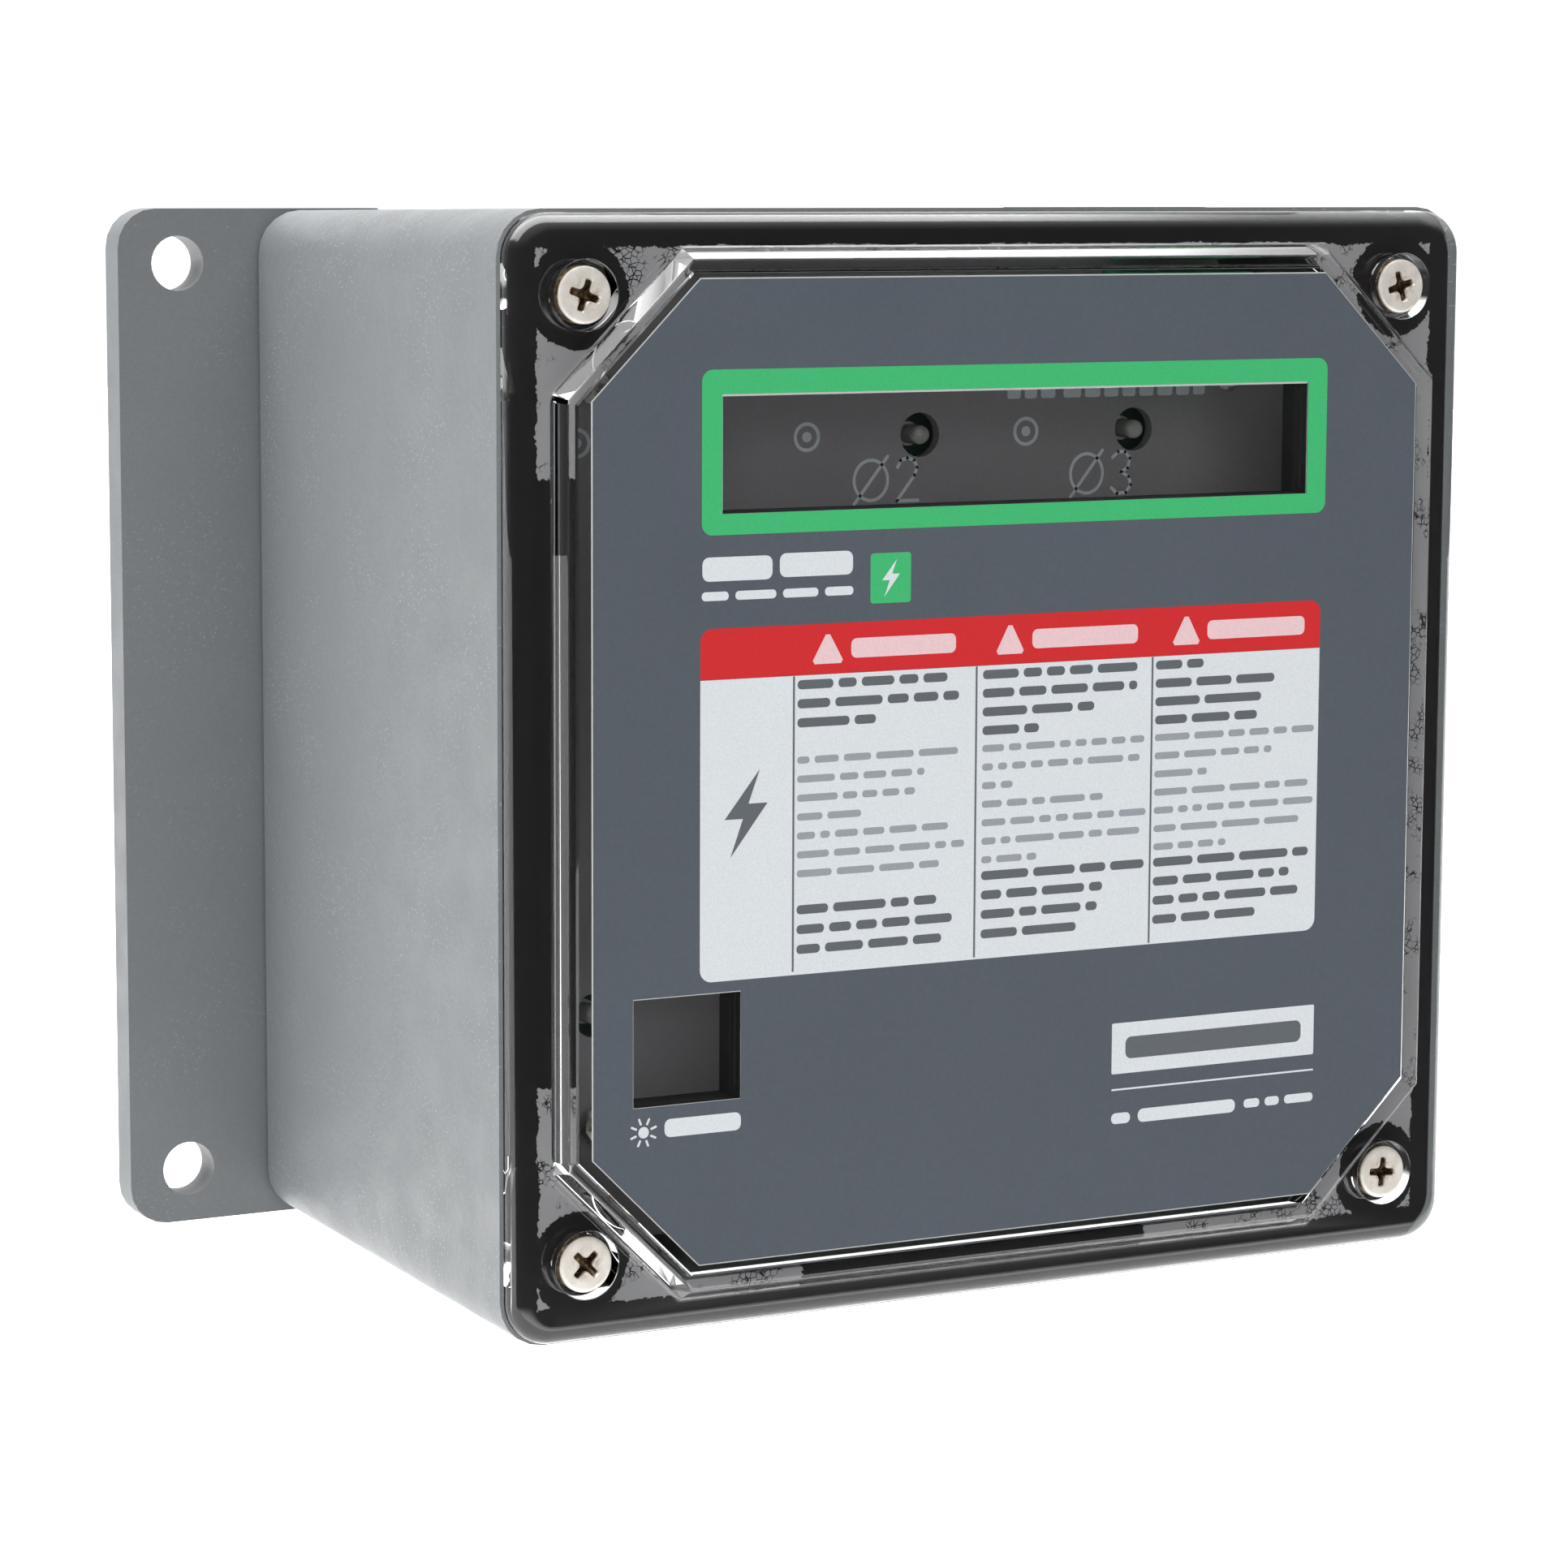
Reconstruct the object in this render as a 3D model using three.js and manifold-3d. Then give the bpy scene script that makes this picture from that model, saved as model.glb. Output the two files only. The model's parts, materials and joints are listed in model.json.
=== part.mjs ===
// Wall-mounted surge protective device: a moulded box on two mounting feet, with a clear
// screwed cover, a sheet gasket and an overlay label. Behind the cover are a dead-front
// plate with indicator lamps, two circuit boards and the varistor blocks.
// Millimetres, +Z up, front towards -Y, origin at the centre of the wall plane.
import * as THREE from 'three';
import { mergeVertices } from 'three/addons/utils/BufferGeometryUtils.js';
import Module from 'manifold-3d';

const wasm = await Module();
wasm.setup();

// ---------- driving dimensions ----------
const GAP = 0.1;                   // air between pieces that rest on each other

const FOOT_THICK = 5.6;            // wall plane to the back of the box
const FOOT_OUTER = 104.2;          // centre line to the outer edge of a foot
const FOOT_INNER = 60;             // centre line to the inner edge of a foot
const FOOT_HALF_HEIGHT = 81.4;
const FOOT_CORNER = 6.2;
const MOUNT_HOLE_R = 4.35;
const MOUNT_HOLE_X = 94.3;
const MOUNT_HOLE_Z = 72.8;
const FOOT_SCREW_X = 68;
const FOOT_SCREW_Z = 42;

const BOX_HALF_FRONT = 82.5;       // outer half width at the mouth
const BOX_HALF_REAR = 81.1;        // outer half width at the back, with moulding draft
const BOX_CORNER = 7;
const BOX_WALL = 3.6;
const BOX_BACK = 4;
const BOX_REAR_Y = -FOOT_THICK - GAP;
const BOX_MOUTH_Y = -100.9;
const GASKET_SEAT_Y = -99.4;
const GASKET_HALF = 80.3;
const GASKET_CORNER = 5.2;
const SEAT_PLAY = 0.2;              // the seat is this much wider than the gasket
const RIM_WALL = 5;                 // the wall is thicker round the mouth, to carry the gasket
const RIM_REAR_Y = -91;

const COVER_REAR_Y = -101;
const COVER_FACE_Y = -105;
const COVER_HALF = 82;
const COVER_CORNER = 6.6;
const COVER_EDGE_R = 3.2;
const PLATEAU_TOP_Y = -107.9;
const PLATEAU_HALF_X = 75.8;       // at the foot of the plateau
const PLATEAU_HALF_Z = 76.8;
const PLATEAU_DIAGONAL = 93.4;     // centre to the bevelled corners
const PLATEAU_SKIN = 2.8;

const LABEL_HALF_X = 70.8;
const LABEL_HALF_Z = 71.9;
const LABEL_DIAGONAL = 88.8;
const LABEL_RISE = 0.6;            // the label sits a little above the plateau's centre
const LABEL_THICK = 0.25;
const LARGE_WINDOW = { x: 0.3, z: 47.4, halfX: 50.5, halfZ: 8.55 };
const SMALL_WINDOW = { x: -55.7, z: -39.1, halfX: 8.8, halfZ: 8.0 };
const SHROUD_DEPTH = 5;
const SHROUD_WALL = 1.2;

const SCREW_PITCH_CIRCLE = 70.3;   // centre line to each cover screw, both ways
const SCREW_HEAD_R = 4.15;
const SCREW_SHANK_R = 1.95;
const SCREW_TOP_Y = -104.6;
const SCREW_TIP_Y = -85.8;
const COUNTERBORE_R = 5.05;
const COUNTERBORE_FLOOR_Y = -102.4;
const BOSS_R = 6.4;
const WASHER_POCKET_R = 4.7;
const WASHER_POCKET_Y = -92;
const COVER_BOSS_R = 4.3;
const COVER_BOSS_Y = -100;          // the cover's bosses end here, inside the gasket's holes
const INSERT_R = 3;
const INSERT_LENGTH = 10;

const PLATE_FACE_Y = -76;
const PLATE_THICK = 2;
const PLATE_HALF = 74;
const PLATE_DIAGONAL = 89.5;
const LAMP_PITCH = 38.8;
const LAMP_Z = 47.4;
const LAMP_HOLE_R = 3.45;
const REPLACE_LAMP = { x: -55.7, z: -39.1 };
const PILLAR = 56;                 // centre line to the pillars, both ways
const PILLAR_R = 3.5;
const LAMP_PEGS = [[-20.3, 41], [20.3, 41], [-55.7, -20]];
const PEG_R = 1.4;
const BASE_BOSS_R = 4.4;           // bosses inside the back wall, for board and foot screws

const BOARD_REAR_Y = -18;
const BOARD_THICK = 1.6;
const BOARD_HALF = 62;
const LAMP_BOARD_Y = -68;          // rear face of the indicator board
const CONTACT = { x: 42, z: 66.8, halfX: 9, halfZ: 5.6 };
const CONTACT_HEADER_Y = -79.8;
const CONTACT_PLUG_Y = -91;

const LEAD_Y = -52;                // axis of the lead nipple, on the right side wall
const NIPPLE_R = 13.2;
const NIPPLE_BORE_R = 10.4;

// ---------- solids ----------
function solid(geometry) {
  const bare = geometry.clone();
  bare.deleteAttribute('normal');
  bare.deleteAttribute('uv');
  const merged = mergeVertices(bare, 1e-4);
  const position = merged.attributes.position.array;
  const source = merged.index.array;
  const kept = [];
  let volume = 0;
  const a = new THREE.Vector3();
  const b = new THREE.Vector3();
  const c = new THREE.Vector3();
  for (let i = 0; i < source.length; i += 3) {
    const [p, q, r] = [source[i], source[i + 1], source[i + 2]];
    if (p === q || q === r || p === r) continue;
    kept.push(p, q, r);
    a.fromArray(position, p * 3);
    b.fromArray(position, q * 3);
    c.fromArray(position, r * 3);
    volume += a.dot(b.cross(c));
  }
  if (volume < 0) {
    for (let i = 0; i < kept.length; i += 3) [kept[i], kept[i + 1]] = [kept[i + 1], kept[i]];
  }
  return new wasm.Manifold(new wasm.Mesh({
    numProp: 3,
    vertProperties: new Float32Array(position),
    triVerts: new Uint32Array(kept),
  }));
}

function mergedSolid(first, ...others) {
  return others.reduce((whole, next) => whole.add(next), first);
}

function cut(whole, ...tools) {
  return tools.reduce((rest, tool) => rest.subtract(tool), whole);
}

function box(x0, x1, y0, y1, z0, z1) {
  const geometry = new THREE.BoxGeometry(x1 - x0, y1 - y0, z1 - z0);
  geometry.translate((x0 + x1) / 2, (y0 + y1) / 2, (z0 + z1) / 2);
  return solid(geometry);
}

// A round rod along Y, from rear to front.
function rod(x, z, radius, rearY, frontY, segments = 16) {
  const geometry = new THREE.CylinderGeometry(radius, radius, rearY - frontY, segments);
  geometry.translate(x, (rearY + frontY) / 2, z);
  return solid(geometry);
}

// A round rod along X.
function rodX(y, z, radius, x0, x1, segments = 28) {
  const geometry = new THREE.CylinderGeometry(radius, radius, x1 - x0, segments);
  geometry.rotateZ(Math.PI / 2);
  geometry.translate((x0 + x1) / 2, y, z);
  return solid(geometry);
}

// A turned piece on a Y axis; profile is a list of [radius, y] that starts and ends on the axis.
function turned(x, z, profile, segments = 16) {
  const points = profile.map(([radius, y]) => new THREE.Vector2(radius, y));
  const geometry = new THREE.LatheGeometry(points, segments);
  geometry.translate(x, 0, z);
  return solid(geometry);
}

// Outlines are closed lists of [x, z], counter-clockwise seen from the front.
function roundedSquare(half, radius, segments = 5) {
  const outline = [];
  const centres = [[1, 1, 0], [-1, 1, 1], [-1, -1, 2], [1, -1, 3]];
  for (const [sx, sz, quarter] of centres) {
    for (let i = 0; i <= segments; i += 1) {
      const angle = (quarter + i / segments) * Math.PI / 2;
      outline.push([
        sx * (half - radius) + radius * Math.cos(angle),
        sz * (half - radius) + radius * Math.sin(angle),
      ]);
    }
  }
  return outline;
}

function octagon(halfX, halfZ, diagonal, centreZ = 0) {
  const reach = diagonal * Math.SQRT2;
  const topX = reach - halfZ;
  const sideZ = reach - halfX;
  return [
    [halfX, sideZ], [topX, halfZ], [-topX, halfZ], [-halfX, sideZ],
    [-halfX, -sideZ], [-topX, -halfZ], [topX, -halfZ], [halfX, -sideZ],
  ].map(([x, z]) => [x, z + centreZ]);
}

// A solid through outlines of equal length, each {outline, y}, from the rear to the front.
function loft(layers) {
  const count = layers[0].outline.length;
  const vertices = [];
  for (const { outline, y } of layers) {
    for (const [x, z] of outline) vertices.push(x, y, z);
  }
  const indices = [];
  for (let layer = 0; layer + 1 < layers.length; layer += 1) {
    for (let i = 0; i < count; i += 1) {
      const j = (i + 1) % count;
      const a = layer * count + i;
      const b = layer * count + j;
      indices.push(a, b, a + count, b, b + count, a + count);
    }
  }
  const flat = layers[0].outline.map(([x, z]) => new THREE.Vector2(x, z));
  const last = (layers.length - 1) * count;
  for (const [a, b, c] of THREE.ShapeUtils.triangulateShape(flat, [])) {
    indices.push(c, b, a, last + a, last + b, last + c);
  }
  const geometry = new THREE.BufferGeometry();
  geometry.setAttribute('position', new THREE.Float32BufferAttribute(vertices, 3));
  geometry.setIndex(indices);
  return solid(geometry);
}

function slab(outline, rearY, frontY) {
  return loft([{ outline, y: rearY }, { outline, y: frontY }]);
}

// ---------- scene graph ----------
const group = new THREE.Group();
group.name = 'surge_protective_device';

const LOOKS = {
  grey_moulding: [0x9a9fa2, 0.55, 0],
  foot_moulding: [0x75797c, 0.5, 0],
  clear_plastic: [0xdfe6e6, 0.08, 0],
  gasket: [0x1e1e20, 0.6, 0],
  label: [0x565d66, 0.45, 0],
  bright_metal: [0xc8c0b4, 0.3, 1],
  brass: [0xb5924a, 0.35, 1],
  black_plastic: [0x2a2a2b, 0.6, 0],
  dead_front: [0x464446, 0.7, 0],
  clear_lamp: [0xe8eae6, 0.1, 0],
  board_green: [0x1f5a3a, 0.5, 0],
  terminal_green: [0x2f8a55, 0.45, 0],
  varistor_blue: [0x35506e, 0.5, 0],
  nylon: [0xd8d6cc, 0.5, 0],
  ribbon_grey: [0x8d9094, 0.6, 0],
};

function add(name, body, look) {
  const { vertProperties, triVerts } = body.getMesh();
  const geometry = new THREE.BufferGeometry();
  geometry.setAttribute('position', new THREE.BufferAttribute(vertProperties, 3));
  geometry.setIndex(new THREE.BufferAttribute(triVerts, 1));
  const [color, roughness, metalness] = LOOKS[look];
  const material = new THREE.MeshStandardMaterial({ color, roughness, metalness });
  const mesh = new THREE.Mesh(geometry, material);
  mesh.name = name;
  group.add(mesh);
}

// Corners in reading order: top left, top right, bottom right, bottom left.
const CORNERS = [[-1, 1], [1, 1], [1, -1], [-1, -1]];

// ---------- enclosure base ----------
function boxHalf(y) {
  const t = (y - BOX_REAR_Y) / (BOX_MOUTH_Y - BOX_REAR_Y);
  return BOX_HALF_REAR + (BOX_HALF_FRONT - BOX_HALF_REAR) * t;
}

function enclosureBase() {
  const cavityRearY = BOX_REAR_Y - BOX_BACK;
  const wallAt = (y, inset, radius) => ({ outline: roundedSquare(boxHalf(y) - inset, radius), y });
  const rearEdge = 1.2;
  const outer = loft([
    wallAt(BOX_REAR_Y, rearEdge, BOX_CORNER - rearEdge),
    wallAt(BOX_REAR_Y - rearEdge, 0, BOX_CORNER),
    wallAt(BOX_MOUTH_Y, 0, BOX_CORNER),
  ]);
  const cavity = loft([
    wallAt(cavityRearY, BOX_WALL, BOX_CORNER - BOX_WALL),
    wallAt(RIM_REAR_Y, BOX_WALL, BOX_CORNER - BOX_WALL),
    wallAt(RIM_REAR_Y - (RIM_WALL - BOX_WALL), RIM_WALL, BOX_CORNER - BOX_WALL),
    wallAt(BOX_MOUTH_Y - 1, RIM_WALL, BOX_CORNER - BOX_WALL),
  ]);
  const seat = slab(
    roundedSquare(GASKET_HALF + SEAT_PLAY, GASKET_CORNER + SEAT_PLAY), GASKET_SEAT_Y, BOX_MOUTH_Y - 1,
  );
  let bosses = null;
  for (const [sx, sz] of CORNERS) {
    const x = sx * SCREW_PITCH_CIRCLE;
    const z = sz * SCREW_PITCH_CIRCLE;
    const reach = BOX_HALF_REAR - 1;
    const post = mergedSolid(
      rod(x, z, BOSS_R, cavityRearY + 1, GASKET_SEAT_Y),
      box(Math.min(x, sx * reach), Math.max(x, sx * reach), GASKET_SEAT_Y, cavityRearY + 1, z - 4, z + 4),
      box(x - 4, x + 4, GASKET_SEAT_Y, cavityRearY + 1, Math.min(z, sz * reach), Math.max(z, sz * reach)),
    );
    const corner = mergedSolid(
      post,
      rod(sx * PILLAR, sz * PILLAR, BASE_BOSS_R, cavityRearY + 1, BOARD_REAR_Y + GAP, 12),
      rod(sx * FOOT_SCREW_X, sz * FOOT_SCREW_Z, BASE_BOSS_R, cavityRearY + 1, cavityRearY - 4),
    );
    bosses = bosses ? bosses.add(corner) : corner;
  }
  let body = cut(outer, cavity, seat).add(bosses);
  for (const [sx, sz] of CORNERS) {
    const x = sx * SCREW_PITCH_CIRCLE;
    const z = sz * SCREW_PITCH_CIRCLE;
    body = cut(
      body,
      rod(x, z, WASHER_POCKET_R, WASHER_POCKET_Y, GASKET_SEAT_Y - 1),
      rod(x, z, INSERT_R + GAP, WASHER_POCKET_Y + INSERT_LENGTH + 2, WASHER_POCKET_Y - 1, 12),
      rod(sx * FOOT_SCREW_X, sz * FOOT_SCREW_Z, 2.05, BOX_REAR_Y + 1, cavityRearY - 2.6),
      rod(sx * PILLAR, sz * PILLAR, 1.6, cavityRearY - 1, BOARD_REAR_Y - 1, 10),
    );
  }
  body = cut(body, rodX(LEAD_Y, 0, NIPPLE_R + 0.3, 70, 90));
  add('enclosure_base', body, 'grey_moulding');
}

// ---------- mounting feet ----------
function footOutline(side) {
  const outline = [];
  const corner = (cx, cz, from) => {
    for (let i = 0; i <= 5; i += 1) {
      const angle = from + (i / 5) * Math.PI / 2;
      outline.push([cx + FOOT_CORNER * Math.cos(angle), cz + FOOT_CORNER * Math.sin(angle)]);
    }
  };
  const cx = FOOT_OUTER - FOOT_CORNER;
  const cz = FOOT_HALF_HEIGHT - FOOT_CORNER;
  corner(cx, cz, 0);
  outline.push([FOOT_INNER, FOOT_HALF_HEIGHT], [FOOT_INNER, -FOOT_HALF_HEIGHT]);
  corner(cx, -cz, 1.5 * Math.PI);
  return side > 0 ? outline : outline.map(([x, z]) => [-x, z]).reverse();
}

function mountingFoot(side, name) {
  let foot = slab(footOutline(side), 0, -FOOT_THICK);
  for (const sz of [1, -1]) {
    foot = cut(
      foot,
      rod(side * MOUNT_HOLE_X, sz * MOUNT_HOLE_Z, MOUNT_HOLE_R, 1, -FOOT_THICK - 1, 28),
      turned(side * FOOT_SCREW_X, sz * FOOT_SCREW_Z, [
        [0, 1], [4.3, 1], [4.3, -0.3], [2.2, -2.8], [2.2, -FOOT_THICK - 1], [0, -FOOT_THICK - 1],
      ]),
    );
  }
  add(name, foot, 'foot_moulding');
}

function footScrews() {
  CORNERS.forEach(([sx, sz], i) => {
    const screw = turned(sx * FOOT_SCREW_X, sz * FOOT_SCREW_Z, [
      [0, -0.4], [4.0, -0.4], [4.0, -0.6], [1.95, -2.95], [1.95, -11.9], [0, -11.9],
    ]);
    const slotHalf = 0.5;
    const x = sx * FOOT_SCREW_X;
    const z = sz * FOOT_SCREW_Z;
    const cross = mergedSolid(
      box(x - 2.2, x + 2.2, -1.9, 0, z - slotHalf, z + slotHalf),
      box(x - slotHalf, x + slotHalf, -1.9, 0, z - 2.2, z + 2.2),
    );
    add(`foot_screw_${i + 1}`, cut(screw, cross), 'bright_metal');
  });
}

// ---------- gasket, cover, label ----------
function coverGasket() {
  const rear = GASKET_SEAT_Y - GAP;
  const front = COVER_REAR_Y + GAP;
  let sheet = cut(
    slab(roundedSquare(GASKET_HALF, GASKET_CORNER), rear, front),
    slab(octagon(PLATEAU_HALF_X - 2.2, PLATEAU_HALF_Z - 2.2, PLATEAU_DIAGONAL - 2.2), rear + 1, front - 1),
  );
  for (const [sx, sz] of CORNERS) {
    const x = sx * SCREW_PITCH_CIRCLE;
    const z = sz * SCREW_PITCH_CIRCLE;
    sheet = cut(sheet, rod(x, z, WASHER_POCKET_R, rear + 1, front - 1));
  }
  add('cover_gasket', sheet, 'gasket');
}

function plateauOutline(inset) {
  return octagon(PLATEAU_HALF_X - inset, PLATEAU_HALF_Z - inset, PLATEAU_DIAGONAL - inset);
}

function clearCover() {
  const rounds = 4;
  const flange = [{ outline: roundedSquare(COVER_HALF, COVER_CORNER), y: COVER_REAR_Y }];
  for (let i = 0; i <= rounds; i += 1) {
    const angle = (i / rounds) * Math.PI / 2;
    const inset = COVER_EDGE_R * (1 - Math.cos(angle));
    flange.push({
      outline: roundedSquare(COVER_HALF - inset, COVER_CORNER - inset),
      y: COVER_FACE_Y + COVER_EDGE_R * (1 - Math.sin(angle)),
    });
  }
  // [inset, height above the flat rim]: root fillet, steep wall, shallow bevel
  const wall = [[-1.2, -0.2], [-0.5, 0.2], [0, 0.65], [1.1, 2.5], [2.4, 2.9]];
  const plateau = loft(wall.map(([inset, rise]) => ({
    outline: plateauOutline(inset),
    y: COVER_FACE_Y - rise,
  })));
  const recess = loft([
    { outline: plateauOutline(3.0), y: COVER_REAR_Y + 1 },
    { outline: plateauOutline(3.4), y: PLATEAU_TOP_Y + PLATEAU_SKIN },
  ]);
  let cover = cut(loft(flange).add(plateau), recess);
  for (const [sx, sz] of CORNERS) {
    cover = cover.add(rod(
      sx * SCREW_PITCH_CIRCLE, sz * SCREW_PITCH_CIRCLE, COVER_BOSS_R, COVER_BOSS_Y, COVER_REAR_Y - 0.5,
    ));
  }
  for (const [sx, sz] of CORNERS) {
    const x = sx * SCREW_PITCH_CIRCLE;
    const z = sz * SCREW_PITCH_CIRCLE;
    cover = cut(
      cover,
      rod(x, z, COUNTERBORE_R, COUNTERBORE_FLOOR_Y, COVER_FACE_Y - 1, 24),
      rod(x, z, SCREW_SHANK_R + 0.3, COVER_BOSS_Y + 1, COVER_FACE_Y - 1),
    );
  }
  add('cover', cover, 'clear_plastic');
}

function windowCutter({ x, z, halfX, halfZ }, rearY, frontY) {
  return box(x - halfX, x + halfX, frontY, rearY, z - halfZ, z + halfZ);
}

function coverLabel() {
  const rear = PLATEAU_TOP_Y - 0.05;
  const front = rear - LABEL_THICK;
  const sheet = slab(octagon(LABEL_HALF_X, LABEL_HALF_Z, LABEL_DIAGONAL, LABEL_RISE), rear, front);
  const windows = [LARGE_WINDOW, SMALL_WINDOW].map((w) => windowCutter(w, rear + 1, front - 1));
  add('cover_label', cut(sheet, ...windows), 'label');
}

function windowShroud(window, name) {
  const front = PLATEAU_TOP_Y + PLATEAU_SKIN + GAP;
  const rear = front + SHROUD_DEPTH;
  const grown = { ...window, halfX: window.halfX + SHROUD_WALL, halfZ: window.halfZ + SHROUD_WALL };
  const sleeve = cut(windowCutter(grown, rear, front), windowCutter(window, rear + 1, front - 1));
  add(name, sleeve, 'black_plastic');
}

// ---------- cover screws, washers, inserts ----------
// Cross recess outline: four straight wings with hollow flanks between them.
function crossOutline(halfSpan, halfWidth, waist) {
  const outline = [];
  for (let quarter = 0; quarter < 4; quarter += 1) {
    const angle = quarter * Math.PI / 2;
    const turn = (x, z) => [
      x * Math.cos(angle) - z * Math.sin(angle),
      x * Math.sin(angle) + z * Math.cos(angle),
    ];
    outline.push(turn(halfSpan, -halfWidth), turn(halfSpan, halfWidth));
    outline.push(turn(waist + 0.45, halfWidth), turn(waist, waist), turn(halfWidth, waist + 0.45));
  }
  return outline;
}

function coverScrews() {
  const topTurn = [-18, 17, -5, 45];
  CORNERS.forEach(([sx, sz], i) => {
    const x = sx * SCREW_PITCH_CIRCLE;
    const z = sz * SCREW_PITCH_CIRCLE;
    const head = COUNTERBORE_FLOOR_Y - GAP;
    const screw = turned(x, z, [
      [0, SCREW_TIP_Y], [SCREW_SHANK_R - 0.5, SCREW_TIP_Y], [SCREW_SHANK_R, SCREW_TIP_Y - 0.6],
      [SCREW_SHANK_R, head], [SCREW_HEAD_R, head],
      [SCREW_HEAD_R, SCREW_TOP_Y + 0.4], [SCREW_HEAD_R - 0.4, SCREW_TOP_Y], [0, SCREW_TOP_Y],
    ], 24);
    const angle = THREE.MathUtils.degToRad(topTurn[i]);
    const place = (outline) => outline.map(([u, v]) => [
      x + u * Math.cos(angle) - v * Math.sin(angle),
      z + u * Math.sin(angle) + v * Math.cos(angle),
    ]);
    const recess = loft([
      { outline: place(crossOutline(1.35, 0.3, 0.42)), y: SCREW_TOP_Y + 1.9 },
      { outline: place(crossOutline(2.2, 0.45, 0.72)), y: SCREW_TOP_Y + 0.5 },
      { outline: place(crossOutline(2.5, 0.52, 0.85)), y: SCREW_TOP_Y - 0.3 },
    ]);
    add(`cover_screw_${i + 1}`, cut(screw, recess), 'bright_metal');

    const washerRear = WASHER_POCKET_Y - 0.3;
    add(`retaining_washer_${i + 1}`, cut(
      rod(x, z, 4.2, washerRear, washerRear - 0.8),
      rod(x, z, SCREW_SHANK_R + 0.2, washerRear + 1, washerRear - 2),
    ), 'nylon');

    const insertFront = WASHER_POCKET_Y + GAP;
    add(`thread_insert_${i + 1}`, cut(
      rod(x, z, INSERT_R, insertFront + INSERT_LENGTH, insertFront, 12),
      rod(x, z, SCREW_SHANK_R + 0.1, insertFront + INSERT_LENGTH + 1, insertFront - 1, 24),
    ), 'brass');
  });
}

// ---------- dead front and lamps ----------
function deadFront() {
  const rear = PLATE_FACE_Y + PLATE_THICK;
  let plate = slab(octagon(PLATE_HALF, PLATE_HALF, PLATE_DIAGONAL), rear, PLATE_FACE_Y);
  // shouldered pegs behind the plate carry the indicator board
  for (const [x, z] of LAMP_PEGS) {
    plate = mergedSolid(
      plate,
      rod(x, z, 2.4, LAMP_BOARD_Y - BOARD_THICK - GAP, rear - 1, 12),
      rod(x, z, PEG_R, LAMP_BOARD_Y + 1.6, rear - 1, 12),
    );
  }
  for (const lampX of [-LAMP_PITCH, 0, LAMP_PITCH]) {
    plate = cut(plate, rod(lampX, LAMP_Z, LAMP_HOLE_R, rear + 1, PLATE_FACE_Y - 1, 20));
  }
  plate = cut(
    plate,
    rod(REPLACE_LAMP.x, REPLACE_LAMP.z, LAMP_HOLE_R, rear + 1, PLATE_FACE_Y - 1),
    box(
      CONTACT.x - CONTACT.halfX - 0.4, CONTACT.x + CONTACT.halfX + 0.4, PLATE_FACE_Y - 1, rear + 1,
      CONTACT.z - CONTACT.halfZ - 0.4, CONTACT.z + CONTACT.halfZ + 0.4,
    ),
  );
  for (const [sx, sz] of CORNERS) {
    plate = cut(plate, rod(sx * PILLAR, sz * PILLAR, 1.8, rear + 1, PLATE_FACE_Y - 1, 12));
  }
  add('dead_front_plate', plate, 'dead_front');
}

function lamp(name, x, z, seatY) {
  const tip = PLATE_FACE_Y - 1.4;
  const profile = [[0, seatY], [1.9, seatY], [1.9, tip + 5.2], [1.5, tip + 5.2], [1.5, tip + 1.5]];
  for (let i = 1; i <= 3; i += 1) {
    const angle = (i / 3) * Math.PI / 2;
    profile.push([1.5 * Math.cos(angle), tip + 1.5 - 1.5 * Math.sin(angle)]);
  }
  profile[profile.length - 1][0] = 0;
  add(name, turned(x, z, profile, 12), 'clear_lamp');
}

function lamps() {
  const seat = LAMP_BOARD_Y - BOARD_THICK - GAP;
  [-LAMP_PITCH, 0, LAMP_PITCH].forEach((x, i) => lamp(`phase_lamp_${i + 1}`, x, LAMP_Z, seat));
  lamp('replace_lamp', REPLACE_LAMP.x, REPLACE_LAMP.z, seat);
}

function contacts() {
  const { x, z, halfX, halfZ } = CONTACT;
  const boardFront = LAMP_BOARD_Y - BOARD_THICK - GAP;
  const header = box(x - halfX, x + halfX, CONTACT_HEADER_Y, boardFront, z - halfZ, z + halfZ);
  const mouth = CONTACT_HEADER_Y;
  const socket = box(x - halfX + 1, x + halfX - 1, mouth - 1, mouth + 8, z - halfZ + 1, z + halfZ - 2);
  add('contact_header', cut(header, socket), 'terminal_green');

  const front = CONTACT_PLUG_Y;
  const shoulder = CONTACT_HEADER_Y - 0.3;
  let plug = mergedSolid(
    box(x - halfX, x + halfX, front, shoulder, z - halfZ, z + halfZ),
    box(x - halfX + 1.3, x + halfX - 1.3, shoulder - 1, mouth + 7, z - halfZ + 1.3, z + halfZ - 2.3),
  );
  for (const step of [-1, 0, 1]) {
    const pole = x + step * 5.08;
    const well = new THREE.CylinderGeometry(1.9, 1.9, 4, 12);
    well.rotateX(Math.PI / 2);
    well.translate(pole, front + 6, z + halfZ);
    plug = cut(
      plug,
      box(pole - 1.7, pole + 1.7, front - 1, front + 5, z - halfZ + 1.2, z - halfZ + 5.4),
      solid(well),
    );
  }
  add('contact_plug', plug, 'terminal_green');
}

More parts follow.
